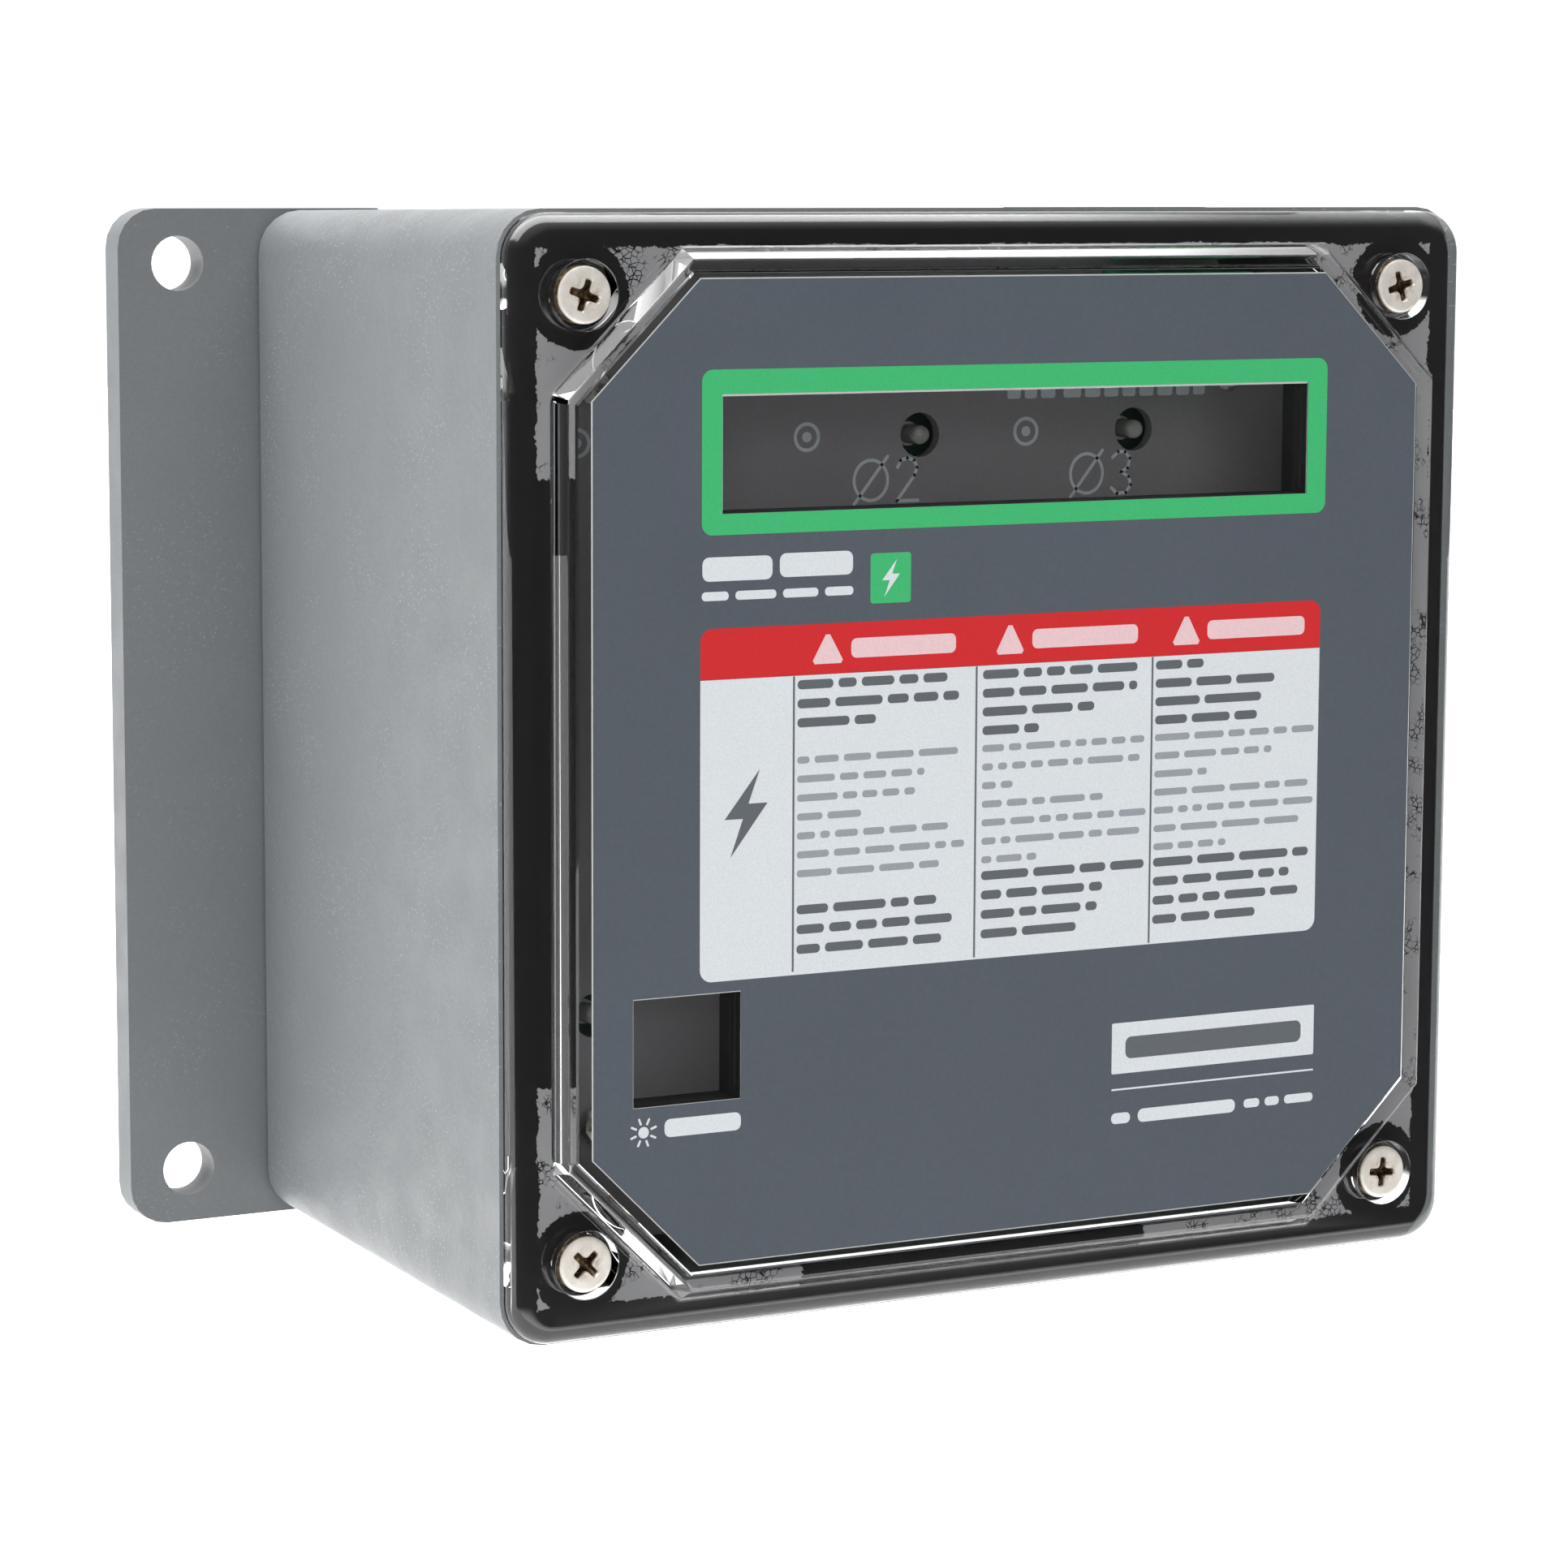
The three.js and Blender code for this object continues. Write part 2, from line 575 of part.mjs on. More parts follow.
// ---------- boards and what stands on them ----------
function boards() {
  let main = box(-BOARD_HALF, BOARD_HALF, BOARD_REAR_Y - BOARD_THICK, BOARD_REAR_Y, -BOARD_HALF, BOARD_HALF);
  for (const [sx, sz] of CORNERS) {
    main = cut(main, rod(sx * PILLAR, sz * PILLAR, 2, BOARD_REAR_Y + 1, BOARD_REAR_Y - 3, 12));
  }
  add('main_board', main, 'board_green');

  let lampBoard = mergedSolid(
    box(-66, 62, LAMP_BOARD_Y - BOARD_THICK, LAMP_BOARD_Y, 35, 59),
    box(30, 54, LAMP_BOARD_Y - BOARD_THICK, LAMP_BOARD_Y, 58, 73),
    box(-66, -48, LAMP_BOARD_Y - BOARD_THICK, LAMP_BOARD_Y, -46, 36),
  );
  const notch = PILLAR_R + 0.4;
  for (const sx of [-1, 1]) {
    lampBoard = cut(lampBoard, rod(sx * PILLAR, PILLAR, notch, LAMP_BOARD_Y + 1, LAMP_BOARD_Y - 3));
  }
  for (const [x, z] of LAMP_PEGS) {
    lampBoard = cut(lampBoard, rod(x, z, PEG_R + 0.2, LAMP_BOARD_Y + 1, LAMP_BOARD_Y - 3, 12));
  }
  add('indicator_board', lampBoard, 'board_green');
}

function boardHardware() {
  const boardFront = BOARD_REAR_Y - BOARD_THICK;
  CORNERS.forEach(([sx, sz], i) => {
    const x = sx * PILLAR;
    const z = sz * PILLAR;
    const pillar = mergedSolid(
      rod(x, z, PILLAR_R, boardFront - GAP, PLATE_FACE_Y + PLATE_THICK + GAP, 12),
      rod(x, z, 1.5, BOARD_REAR_Y + 6, boardFront - 1, 8),
    );
    const tap = rod(x, z, 1.6, PLATE_FACE_Y + 12, PLATE_FACE_Y, 10);
    add(`plate_pillar_${i + 1}`, cut(pillar, tap), 'nylon');
    const screw = turned(x, z, [
      [0, PLATE_FACE_Y + 8], [1.4, PLATE_FACE_Y + 8], [1.4, PLATE_FACE_Y - GAP], [2.9, PLATE_FACE_Y - GAP],
      [2.9, PLATE_FACE_Y - 1.2], [2.2, PLATE_FACE_Y - 1.9], [0, PLATE_FACE_Y - 2.1],
    ], 10);
    const cross = mergedSolid(
      box(x - 1.6, x + 1.6, PLATE_FACE_Y - 3, PLATE_FACE_Y - 1, z - 0.4, z + 0.4),
      box(x - 0.4, x + 0.4, PLATE_FACE_Y - 3, PLATE_FACE_Y - 1, z - 1.6, z + 1.6),
    );
    add(`plate_screw_${i + 1}`, cut(screw, cross), 'bright_metal');
  });
}

function powerParts() {
  const seat = BOARD_REAR_Y - BOARD_THICK - GAP;
  const blockFrontY = -48;
  const outline = roundedSquare(15, 2, 3);
  const block = (x, z) => slab(outline.map(([u, v]) => [u + x, v * 1.25 + z]), seat, blockFrontY);
  [-42, -8, 26].forEach((x, i) => {
    add(`varistor_block_${i + 1}`, block(x, -30), 'varistor_blue');
    const fuseR = 4.2;
    add(`thermal_fuse_${i + 1}`, rodX(seat - fuseR, -5, fuseR, x - 11, x + 11, 14), 'nylon');
  });
  add('varistor_block_4', block(-42, 24), 'varistor_blue');
  add('alarm_relay', box(-20, 8, -38, seat, 12, 28), 'black_plastic');
  add('ribbon_link', box(12, 34, LAMP_BOARD_Y + GAP, seat, 44, 45.2), 'ribbon_grey');
  [-36, -18, 0, 18, 36].forEach((z, i) => {
    add(`lead_tab_${i + 1}`, box(51.6, 52.4, -32, seat, z - 3.15, z + 3.15), 'brass');
  });
}

// ---------- lead nipple ----------
function leadNipple() {
  const wallOuter = boxHalf(LEAD_Y - 17) + 0.15;
  const wallInner = boxHalf(LEAD_Y + 17) - BOX_WALL - 0.15;
  const sealThick = 1.6;
  const flangeInner = wallOuter + sealThick + GAP;
  const hex = new THREE.CylinderGeometry(18, 18, 6, 6);
  hex.rotateZ(Math.PI / 2);
  hex.translate(flangeInner + 3, LEAD_Y, 0);
  const nipple = cut(
    mergedSolid(rodX(LEAD_Y, 0, NIPPLE_R, 72, 103), solid(hex)),
    rodX(LEAD_Y, 0, NIPPLE_BORE_R, 70, 105),
  );
  add('lead_nipple', nipple, 'bright_metal');
  add('nipple_seal', cut(
    rodX(LEAD_Y, 0, 16.5, wallOuter, wallOuter + sealThick),
    rodX(LEAD_Y, 0, NIPPLE_R + 0.2, wallOuter - 1, wallOuter + sealThick + 1),
  ), 'gasket');
  const nut = new THREE.CylinderGeometry(17.5, 17.5, 3.6, 6);
  nut.rotateZ(Math.PI / 2);
  nut.translate(wallInner - 1.8, LEAD_Y, 0);
  add('nipple_locknut', cut(solid(nut), rodX(LEAD_Y, 0, NIPPLE_R + 0.15, 70, 82)), 'bright_metal');
}

enclosureBase();
mountingFoot(-1, 'mounting_foot_left');
mountingFoot(1, 'mounting_foot_right');
footScrews();
coverGasket();
clearCover();
coverLabel();
windowShroud(LARGE_WINDOW, 'window_shroud_large');
windowShroud(SMALL_WINDOW, 'window_shroud_small');
coverScrews();
deadFront();
lamps();
contacts();
boards();
boardHardware();
powerParts();
leadNipple();

export default group;
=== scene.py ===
"""Looks of a wall-mounted surge protective device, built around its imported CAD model.

Shapes are in millimetres in the row frame: the front faces -Y and the origin is the centre
of the wall plane. The camera, the lights and the textures are in metres.
"""
import json
import math
import random

import bmesh
import bpy
from mathutils import Matrix, Vector
from mathutils.geometry import delaunay_2d_cdt

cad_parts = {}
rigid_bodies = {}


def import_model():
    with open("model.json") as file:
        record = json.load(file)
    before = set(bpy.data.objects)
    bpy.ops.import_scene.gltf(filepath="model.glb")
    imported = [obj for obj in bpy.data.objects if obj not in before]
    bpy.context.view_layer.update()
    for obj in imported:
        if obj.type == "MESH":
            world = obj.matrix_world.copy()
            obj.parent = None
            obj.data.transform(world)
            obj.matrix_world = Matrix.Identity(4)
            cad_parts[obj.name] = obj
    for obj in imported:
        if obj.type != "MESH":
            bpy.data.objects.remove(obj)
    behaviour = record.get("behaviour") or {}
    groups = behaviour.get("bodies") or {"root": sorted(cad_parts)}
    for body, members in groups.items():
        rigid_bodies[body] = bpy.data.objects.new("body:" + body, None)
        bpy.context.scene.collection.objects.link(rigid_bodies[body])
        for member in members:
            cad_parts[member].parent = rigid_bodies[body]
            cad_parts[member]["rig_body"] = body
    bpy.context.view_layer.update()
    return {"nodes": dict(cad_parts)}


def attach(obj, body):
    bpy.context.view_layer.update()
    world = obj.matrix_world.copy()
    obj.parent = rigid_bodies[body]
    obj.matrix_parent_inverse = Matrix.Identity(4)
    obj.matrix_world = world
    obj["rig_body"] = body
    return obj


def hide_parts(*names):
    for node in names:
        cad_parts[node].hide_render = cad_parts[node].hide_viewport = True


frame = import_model()
MM = 0.001
RNG = random.Random(7)

# ---------------------------------------------------------------- sizes that several pieces share

CORNERS = ((-1, 1), (1, 1), (1, -1), (-1, -1))
SCREW = 70.3                        # centre line to each cover screw, both ways
SCREW_TOP = -104.6
COVER_REAR, COVER_FACE = -101.0, -105.0
GASKET_REAR, GASKET_FRONT = -99.5, -100.9
GASKET_HALF, GASKET_CORNER = 80.3, 5.2
LABEL_REAR, LABEL_FACE = -107.95, -108.17
INK = 0.012                         # how thick one print is
WINDOW_LARGE = (-50.2, 50.8, 38.85, 56.05)
WINDOW_SMALL = (-64.5, -46.9, -47.1, -31.0)
PLATE_FACE = -76.0
LAMPS = (-38.8, 0.0, 38.8)
LAMP_Z = 47.4
REPLACE_LAMP = (-55.7, -39.1)
ROUND = 72                          # points on the circles of a screw and its bore

# ---------------------------------------------------------------- camera and light

CAMERA_PLACE = (-0.35885, -0.70998, 0.08988)
CAMERA_YAW, CAMERA_PITCH, CAMERA_ROLL = 27.918, 7.596, 0.245
LENS, SENSOR_WIDTH = 108.0, 36.0
LIGHT_AIM = (0, -0.05, 0)
WHITE_SEEN = 1.3                    # strength of the world that the camera sees
FLOOR_HEIGHT = -0.34
FLOOR_GLOW, FLOOR_GLOW_ON_MATT = 1.4, 0.2


def make_camera():
    yaw, pitch, roll = (math.radians(a) for a in (CAMERA_YAW, CAMERA_PITCH, CAMERA_ROLL))
    up = Vector((0, 0, 1))
    forward = Vector((math.sin(yaw), math.cos(yaw), 0))
    right = Vector((math.cos(yaw), -math.sin(yaw), 0))
    look = forward * math.cos(pitch) - up * math.sin(pitch)
    level_up = up * math.cos(pitch) + forward * math.sin(pitch)
    side = right * math.cos(roll) + level_up * math.sin(roll)
    top = level_up * math.cos(roll) - right * math.sin(roll)
    data = bpy.data.cameras.new("camera")
    data.lens = LENS
    data.sensor_width = SENSOR_WIDTH
    data.clip_start = 0.01
    camera = bpy.data.objects.new("camera", data)
    turn = Matrix((side, top, -look)).transposed().to_4x4()
    camera.matrix_world = Matrix.Translation(CAMERA_PLACE) @ turn
    bpy.context.scene.collection.objects.link(camera)
    bpy.context.scene.camera = camera


def area_light(name, place, size, power):
    """A light for matt surfaces only, which reflections and clear plastic don't show."""
    data = bpy.data.lights.new(name, "AREA")
    data.shape = "RECTANGLE"
    data.size, data.size_y = size
    data.energy = power
    light = bpy.data.objects.new(name, data)
    light.location = place
    light.rotation_mode = "QUATERNION"
    light.rotation_quaternion = (Vector(LIGHT_AIM) - Vector(place)).to_track_quat("-Z", "Y")
    bpy.context.scene.collection.objects.link(light)
    light.visible_camera = False
    light.visible_glossy = False
    light.visible_transmission = False


class Nodes:
    """Short names for making and linking shader nodes in one tree."""

    def __init__(self, tree):
        self.tree = tree
        tree.nodes.clear()

    def add(self, kind, **settings):
        node = self.tree.nodes.new(kind)
        for name, value in settings.items():
            setattr(node, name, value)
        return node

    def put(self, socket, value):
        if isinstance(value, bpy.types.NodeSocket):
            self.tree.links.new(value, socket)
        elif value is not None:
            socket.default_value = value

    def math(self, operation, a, b=None, c=None):
        node = self.add("ShaderNodeMath", operation=operation)
        for i, value in enumerate((a, b, c)):
            self.put(node.inputs[i], value)
        return node.outputs[0]

    def times(self, first, *others):
        for other in others:
            first = self.math("MULTIPLY", first, other)
        return first

    def reach(self, a, b):
        """How far (a, b) is from (0, 0)."""
        return self.math("SQRT", self.math("ADD", self.times(a, a), self.times(b, b)))

    def ramp(self, value, low, high, to_low=0.0, to_high=1.0, smooth=True):
        node = self.add("ShaderNodeMapRange", clamp=True)
        node.interpolation_type = "SMOOTHSTEP" if smooth else "LINEAR"
        for i, v in enumerate((value, low, high, to_low, to_high)):
            self.put(node.inputs[i], v)
        return node.outputs[0]

    def mix(self, share, a, b):
        node = self.add("ShaderNodeMix", data_type="RGBA")
        self.put(node.inputs[0], share)
        self.put(node.inputs[6], rgba(a))
        self.put(node.inputs[7], rgba(b))
        return node.outputs[2]

    def toned(self, colour, tone):
        """The colour made lighter and darker by tone."""
        node = self.add("ShaderNodeVectorMath", operation="SCALE")
        node.inputs[0].default_value = colour
        self.put(node.inputs["Scale"], tone)
        return node.outputs[0]

    def place(self):
        return self.add("ShaderNodeTexCoord").outputs["Object"]

    def noise(self, scale, detail=3.0, rough=0.55):
        node = self.add("ShaderNodeTexNoise")
        self.put(node.inputs["Vector"], self.place())
        node.inputs["Scale"].default_value = scale
        node.inputs["Detail"].default_value = detail
        node.inputs["Roughness"].default_value = rough
        return node.outputs["Fac"]

    def voronoi(self, scale, feature="F1"):
        node = self.add("ShaderNodeTexVoronoi", feature=feature)
        self.put(node.inputs["Vector"], self.place())
        node.inputs["Scale"].default_value = scale
        return node.outputs["Distance"]

    def axes(self, at=None):
        node = self.add("ShaderNodeSeparateXYZ")
        self.put(node.inputs[0], at or self.place())
        return node.outputs

    def bump(self, height, strength, distance):
        node = self.add("ShaderNodeBump")
        node.inputs["Strength"].default_value = strength
        node.inputs["Distance"].default_value = distance
        self.put(node.inputs["Height"], height)
        return node.outputs[0]


def rgba(value):
    if isinstance(value, (tuple, list)) and len(value) == 3:
        return (*value, 1.0)
    return value


def srgb(*levels):
    """A linear colour from 0-255 display levels."""
    shares = [level / 255 for level in levels]
    return tuple(v / 12.92 if v <= 0.04045 else ((v + 0.055) / 1.055) ** 2.4 for v in shares)


def make_world():
    """White to the camera. Light and reflections come from a soft box overhead, a pale sweep
    below and a glow behind, each with its own strength for matt, glossy and clear surfaces."""
    world = bpy.data.worlds.new("studio")
    bpy.context.scene.world = world
    world.use_nodes = True
    n = Nodes(world.node_tree)
    x, y, z = n.axes(n.add("ShaderNodeTexCoord").outputs["Generated"])
    box = n.ramp(z, 0.50, 0.62)
    sides = ((x, -0.86, -0.74), (x, 0.56, 0.50), (y, -0.42, -0.30), (y, 0.46, 0.34))
    for value, outside, inside in sides:
        box = n.times(box, n.ramp(value, outside, inside))
    narrow_box = n.times(box, n.ramp(x, -0.76, -0.60))
    haze = n.ramp(z, 0.25, 0.8)
    low = n.ramp(z, -0.22, -0.55)
    behind = n.ramp(y, 0.2, 0.8)

    def sum_of(*parts):
        total = 0.0
        for value, share in parts:
            total = n.math("MULTIPLY_ADD", value, share, total)
        return total

    matt = sum_of((narrow_box, 2.5), (haze, 0.1), (low, 0.45), (behind, 0.4), (1.0, 0.05))
    glossy = sum_of((box, 7.0), (haze, 0.9), (low, 4.2), (behind, 1.2), (1.0, 0.04))
    through = sum_of((box, 1.4), (haze, 0.6), (low, 3.4), (behind, 1.2), (1.0, 0.03))
    path = n.add("ShaderNodeLightPath")

    def choose(test, no, yes):
        pick = n.add("ShaderNodeMix", data_type="FLOAT")
        for socket, value in zip((0, 2, 3), (test, no, yes)):
            n.put(pick.inputs[socket], value)
        return pick.outputs[0]

    bounced = choose(path.outputs["Is Transmission Ray"], glossy, through)
    strength = choose(path.outputs["Is Diffuse Ray"], bounced, matt)
    seen = n.times(path.outputs["Is Camera Ray"], WHITE_SEEN)
    strength = n.math("MAXIMUM", strength, seen)
    back = n.add("ShaderNodeBackground")
    back.inputs["Color"].default_value = (1, 1, 1, 1)
    n.put(back.inputs["Strength"], strength)
    out = n.add("ShaderNodeOutputWorld")
    n.put(out.inputs["Surface"], back.outputs[0])


def make_floor():
    """A bright sweep below and behind, which gives matt surfaces less light than it shows."""
    bpy.ops.mesh.primitive_plane_add(size=1)
    floor = bpy.context.object
    floor.name = "floor"
    floor.location = (0, 3.6, FLOOR_HEIGHT)
    floor.scale = (9, 8, 1)
    material = bpy.data.materials.new("floor")
    material.use_nodes = True
    n = Nodes(material.node_tree)
    base = n.add("ShaderNodeBsdfPrincipled")
    base.inputs["Base Color"].default_value = (0.86, 0.86, 0.86, 1)
    base.inputs["Roughness"].default_value = 0.9
    base.inputs["Emission Color"].default_value = (1, 1, 1, 1)
    path = n.add("ShaderNodeLightPath")
    less = FLOOR_GLOW_ON_MATT - FLOOR_GLOW
    glow = n.math("MULTIPLY_ADD", path.outputs["Is Diffuse Ray"], less, FLOOR_GLOW)
    n.put(base.inputs["Emission Strength"], glow)
    out = n.add("ShaderNodeOutputMaterial")
    n.put(out.inputs["Surface"], base.outputs[0])
    floor.data.materials.append(material)


# ---------------------------------------------------------------- materials

DUST = (0.55, 0.57, 0.58)
PLASTIC_IOR = 1.5
LIGHT_THROUGH_COVER = 0.9
RECESS_STARTS = (0.00012, 0.0006)   # how deep the dark of a screw's recess sets in, from and to


def finish_material(name, build):
    """A material whose Principled shader is filled in by build(nodes, shader)."""
    material = bpy.data.materials.new(name)
    material.use_nodes = True
    n = Nodes(material.node_tree)
    shader = n.add("ShaderNodeBsdfPrincipled")
    surface = build(n, shader) or shader.outputs[0]
    out = n.add("ShaderNodeOutputMaterial")
    n.put(out.inputs["Surface"], surface)
    return material


def moulded(name, colour, rough=0.5, peel=0.25, peel_scale=900.0, specks=0.0, mottle=0.06,
            specular=0.5):
    """Moulded plastic: faint mottling, orange peel and, if asked, pale dust specks."""
    def build(n, s):
        cloud = n.ramp(n.noise(28.0, 4.0), 0.3, 0.7, 1 - mottle, 1 + mottle)
        grain = n.ramp(n.noise(1900.0, 2.0), 0.3, 0.7, 0.965, 1.035)
        shade = n.toned(colour, n.times(cloud, grain))
        if specks:
            where = n.ramp(n.noise(60.0, 3.0), 0.40, 0.66)
            fine_dust = n.times(n.ramp(n.voronoi(1250.0), 0.13, 0.24, 0.8, 0.0), where)
            coarse_dust = n.ramp(n.voronoi(260.0), 0.03, 0.045, 1.0, 0.0)
            dust = n.math("MAXIMUM", fine_dust, coarse_dust)
            shade = n.mix(n.times(dust, specks), shade, DUST)
        n.put(s.inputs["Base Color"], shade)
        n.put(s.inputs["Roughness"], n.ramp(n.noise(120.0, 3.0), 0.3, 0.7, rough - 0.05, rough + 0.06))
        s.inputs["Specular IOR Level"].default_value = specular
        if peel:
            n.put(s.inputs["Normal"], n.bump(n.noise(peel_scale, 3.0), peel, 0.0002))
    return finish_material(name, build)


def printed(name, colour):
    """Ink with a fine grain."""
    def build(n, s):
        grain = n.ramp(n.noise(3200.0, 2.0), 0.25, 0.75, 0.95, 1.05)
        n.put(s.inputs["Base Color"], n.toned(colour, grain))
        s.inputs["Roughness"].default_value = 0.5
        s.inputs["Specular IOR Level"].default_value = 0.3
    return finish_material(name, build)


def metal(name, colour, rough):
    """Plated or machined metal with a slightly uneven shine."""
    def build(n, s):
        cloud = n.ramp(n.noise(700.0, 4.0), 0.3, 0.7, 0.92, 1.08)
        n.put(s.inputs["Base Color"], n.toned(colour, cloud))
        s.inputs["Metallic"].default_value = 1.0
        n.put(s.inputs["Roughness"], n.ramp(n.noise(400.0, 3.0), 0.3, 0.7, rough - 0.06, rough + 0.08))
        n.put(s.inputs["Normal"], n.bump(n.noise(1800.0, 2.0), 0.08, 0.0001))
    return finish_material(name, build)


def clear(name, tint):
    """Clear plastic. Lamp light and matt bounces pass straight through, and the rest is bent."""
    def build(n, s):
        s.inputs["Base Color"].default_value = rgba(tint)
        s.inputs["Transmission Weight"].default_value = 1.0
        s.inputs["IOR"].default_value = PLASTIC_IOR
        s.inputs["Roughness"].default_value = 0.0
        path = n.add("ShaderNodeLightPath")
        through = n.math("MAXIMUM", path.outputs["Is Shadow Ray"], path.outputs["Is Diffuse Ray"])
        open_way = n.add("ShaderNodeBsdfTransparent")
        open_way.inputs["Color"].default_value = rgba((LIGHT_THROUGH_COVER,) * 3)
        both = n.add("ShaderNodeMixShader")
        n.put(both.inputs[0], through)
        n.put(both.inputs[1], s.outputs[0])
        n.put(both.inputs[2], open_way.outputs[0])
        return both.outputs[0]
    return finish_material(name, build)


def frosted(name, colour):
    """Water-clear resin that catches the light: half see-through, half milky."""
    def build(n, s):
        cloud = n.ramp(n.noise(900.0, 3.0), 0.3, 0.7, 0.85, 1.15)
        n.put(s.inputs["Base Color"], n.toned(colour, cloud))
        s.inputs["Transmission Weight"].default_value = 0.5
        s.inputs["Roughness"].default_value = 0.12
        s.inputs["IOR"].default_value = PLASTIC_IOR
    return finish_material(name, build)


def screw_metal():
    """Nickel plate with brown stains round a dark recess; the screw's axis is local Y."""
    def build(n, s):
        x, y, z = n.axes()
        blotch = n.noise(900.0, 4.0)
        near = n.ramp(n.reach(x, z), 0.0012, 0.0034, 1.0, 0.0)
        stain = n.times(near, n.ramp(blotch, 0.42, 0.68))
        cloud = n.ramp(n.noise(500.0, 4.0), 0.35, 0.7)
        plate = n.mix(cloud, (0.74, 0.69, 0.63), (0.86, 0.82, 0.76))
        top = n.mix(n.times(stain, 0.75), plate, (0.33, 0.23, 0.14))
        patch = n.ramp(n.noise(1500.0, 3.0), 0.45, 0.7)
        recess_tone = n.mix(patch, (0.035, 0.022, 0.012), (0.30, 0.18, 0.08))
        # the cross recess is coloured near black with brown patches, from about 0.12 mm below the top,
        # darker than the nickel
        n.put(s.inputs["Base Color"], n.mix(n.ramp(y, *RECESS_STARTS), top, recess_tone))
        n.put(s.inputs["Metallic"], n.ramp(y, *RECESS_STARTS, 0.45, 0.5))
        n.put(s.inputs["Roughness"], n.ramp(blotch, 0.3, 0.7, 0.36, 0.5))
        n.put(s.inputs["Normal"], n.bump(n.noise(2600.0, 3.0), 0.12, 0.0001))
    return finish_material("nickel_screw", build)


# the wetted parts of the gasket, in metres
WET_RIM, WET_ROUND_SCREW = 0.0034, 0.0079
WET_LEFT_HALF_HEIGHT = 0.044
WET_BOTTOM_CENTRE, WET_BOTTOM_HALF_WIDTH = -0.004, 0.030
RUN_INNER_EDGE = 0.060


def gasket_material():
    """Black sheet, wetted against the cover in places and dry elsewhere; in the dry parts the pale grey
    reflection off the air gap under the cover is painted into the sheet's colour.
    """
    def build(n, s):
        x, y, z = n.axes()
        ax, az = n.math("ABSOLUTE", x), n.math("ABSOLUTE", z)
        wander = n.ramp(n.noise(160.0, 5.0, 0.7), 0.0, 1.0, -0.0011, 0.0011, smooth=False)
        ragged = n.ramp(n.noise(1500.0, 3.0, 0.7), 0.0, 1.0, -0.0006, 0.0006, smooth=False)
        shift = n.math("ADD", wander, ragged)

        def beyond(distance, limit):
            return n.math("GREATER_THAN", n.math("ADD", distance, shift), limit)

        def within(distance, limit):
            return n.math("LESS_THAN", n.math("ADD", distance, shift), limit)

        inward = n.math("SUBTRACT", GASKET_HALF * MM, n.math("MAXIMUM", ax, az))
        from_screw = n.reach(n.math("SUBTRACT", ax, SCREW * MM), n.math("SUBTRACT", az, SCREW * MM))
        apart = n.times(beyond(inward, WET_RIM), beyond(from_screw, WET_ROUND_SCREW))
        # the left run is wetted all along its middle, and most of the bottom run too
        left_run = n.math("LESS_THAN", x, -RUN_INNER_EDGE)
        left = n.times(left_run, within(az, WET_LEFT_HALF_HEIGHT))
        sideways = n.math("ABSOLUTE", n.math("SUBTRACT", x, WET_BOTTOM_CENTRE))
        bottom_run = n.math("LESS_THAN", z, -RUN_INNER_EDGE)
        bottom = n.times(bottom_run, within(sideways, WET_BOTTOM_HALF_WIDTH))
        dry_gap_sheen = n.times(apart, n.math("SUBTRACT", 1.0, n.math("MAXIMUM", left, bottom)))
        cracks = n.ramp(n.voronoi(1100.0, "DISTANCE_TO_EDGE"), 0.04, 0.10, 1.0, 0.0)
        cracked = n.times(cracks, n.ramp(n.noise(220.0, 3.0), 0.50, 0.62))
        dry_gap_sheen = n.times(dry_gap_sheen, n.math("SUBTRACT", 1.0, cracked))
        # painted reflection: where the sheet is dry it is coloured pale grey, standing in for light
        # reflected at the air gap between cover and sheet, with the cracks as dark lines in it
        n.put(s.inputs["Base Color"], n.mix(dry_gap_sheen, (0.010, 0.0095, 0.0105), (0.40, 0.40, 0.41)))
        n.put(s.inputs["Roughness"], n.ramp(dry_gap_sheen, 0.0, 1.0, 0.5, 0.75))
        s.inputs["Specular IOR Level"].default_value = 0.15
    return finish_material("gasket_rubber", build)


def board_material(name, colour):
    """Lacquered circuit board with a woven grain."""
    threads = 7000.0

    def build(n, s):
        x, y, z = n.axes()
        across, up = (n.math("SINE", n.times(value, threads)) for value in (x, z))
        weave = n.ramp(n.times(across, up), -1.0, 1.0, 0.35, 0.65)
        n.put(s.inputs["Base Color"], n.mix(weave, colour, tuple(c * 1.6 for c in colour)))
        s.inputs["Roughness"].default_value = 0.35
    return finish_material(name, build)


# ---------------------------------------------------------------- mesh building


def circle(cx, cz, radius, count=64):
    return [(cx + radius * math.cos(2 * math.pi * i / count),
             cz + radius * math.sin(2 * math.pi * i / count)) for i in range(count)]


def rounded(half_x, half_z, radius, centre=(0, 0), count=10):
    outline = []
    for quarter, (sx, sz) in enumerate(((1, 1), (-1, 1), (-1, -1), (1, -1))):
        for i in range(count + 1):
            angle = (quarter + i / count) * math.pi / 2
            outline.append((centre[0] + sx * (half_x - radius) + radius * math.cos(angle),
                            centre[1] + sz * (half_z - radius) + radius * math.sin(angle)))
    return outline


def rectangle(x0, x1, z0, z1):
    return [(x1, z1), (x0, z1), (x0, z0), (x1, z0)]


def octagon(half_x, half_z, diagonal, rise=0.0):
    reach = diagonal * math.sqrt(2)
    across, up = reach - half_z, reach - half_x
    return [(x, z + rise) for x, z in (
        (half_x, up), (across, half_z), (-across, half_z), (-half_x, up),
        (-half_x, -up), (-across, -half_z), (across, -half_z), (half_x, -up))]


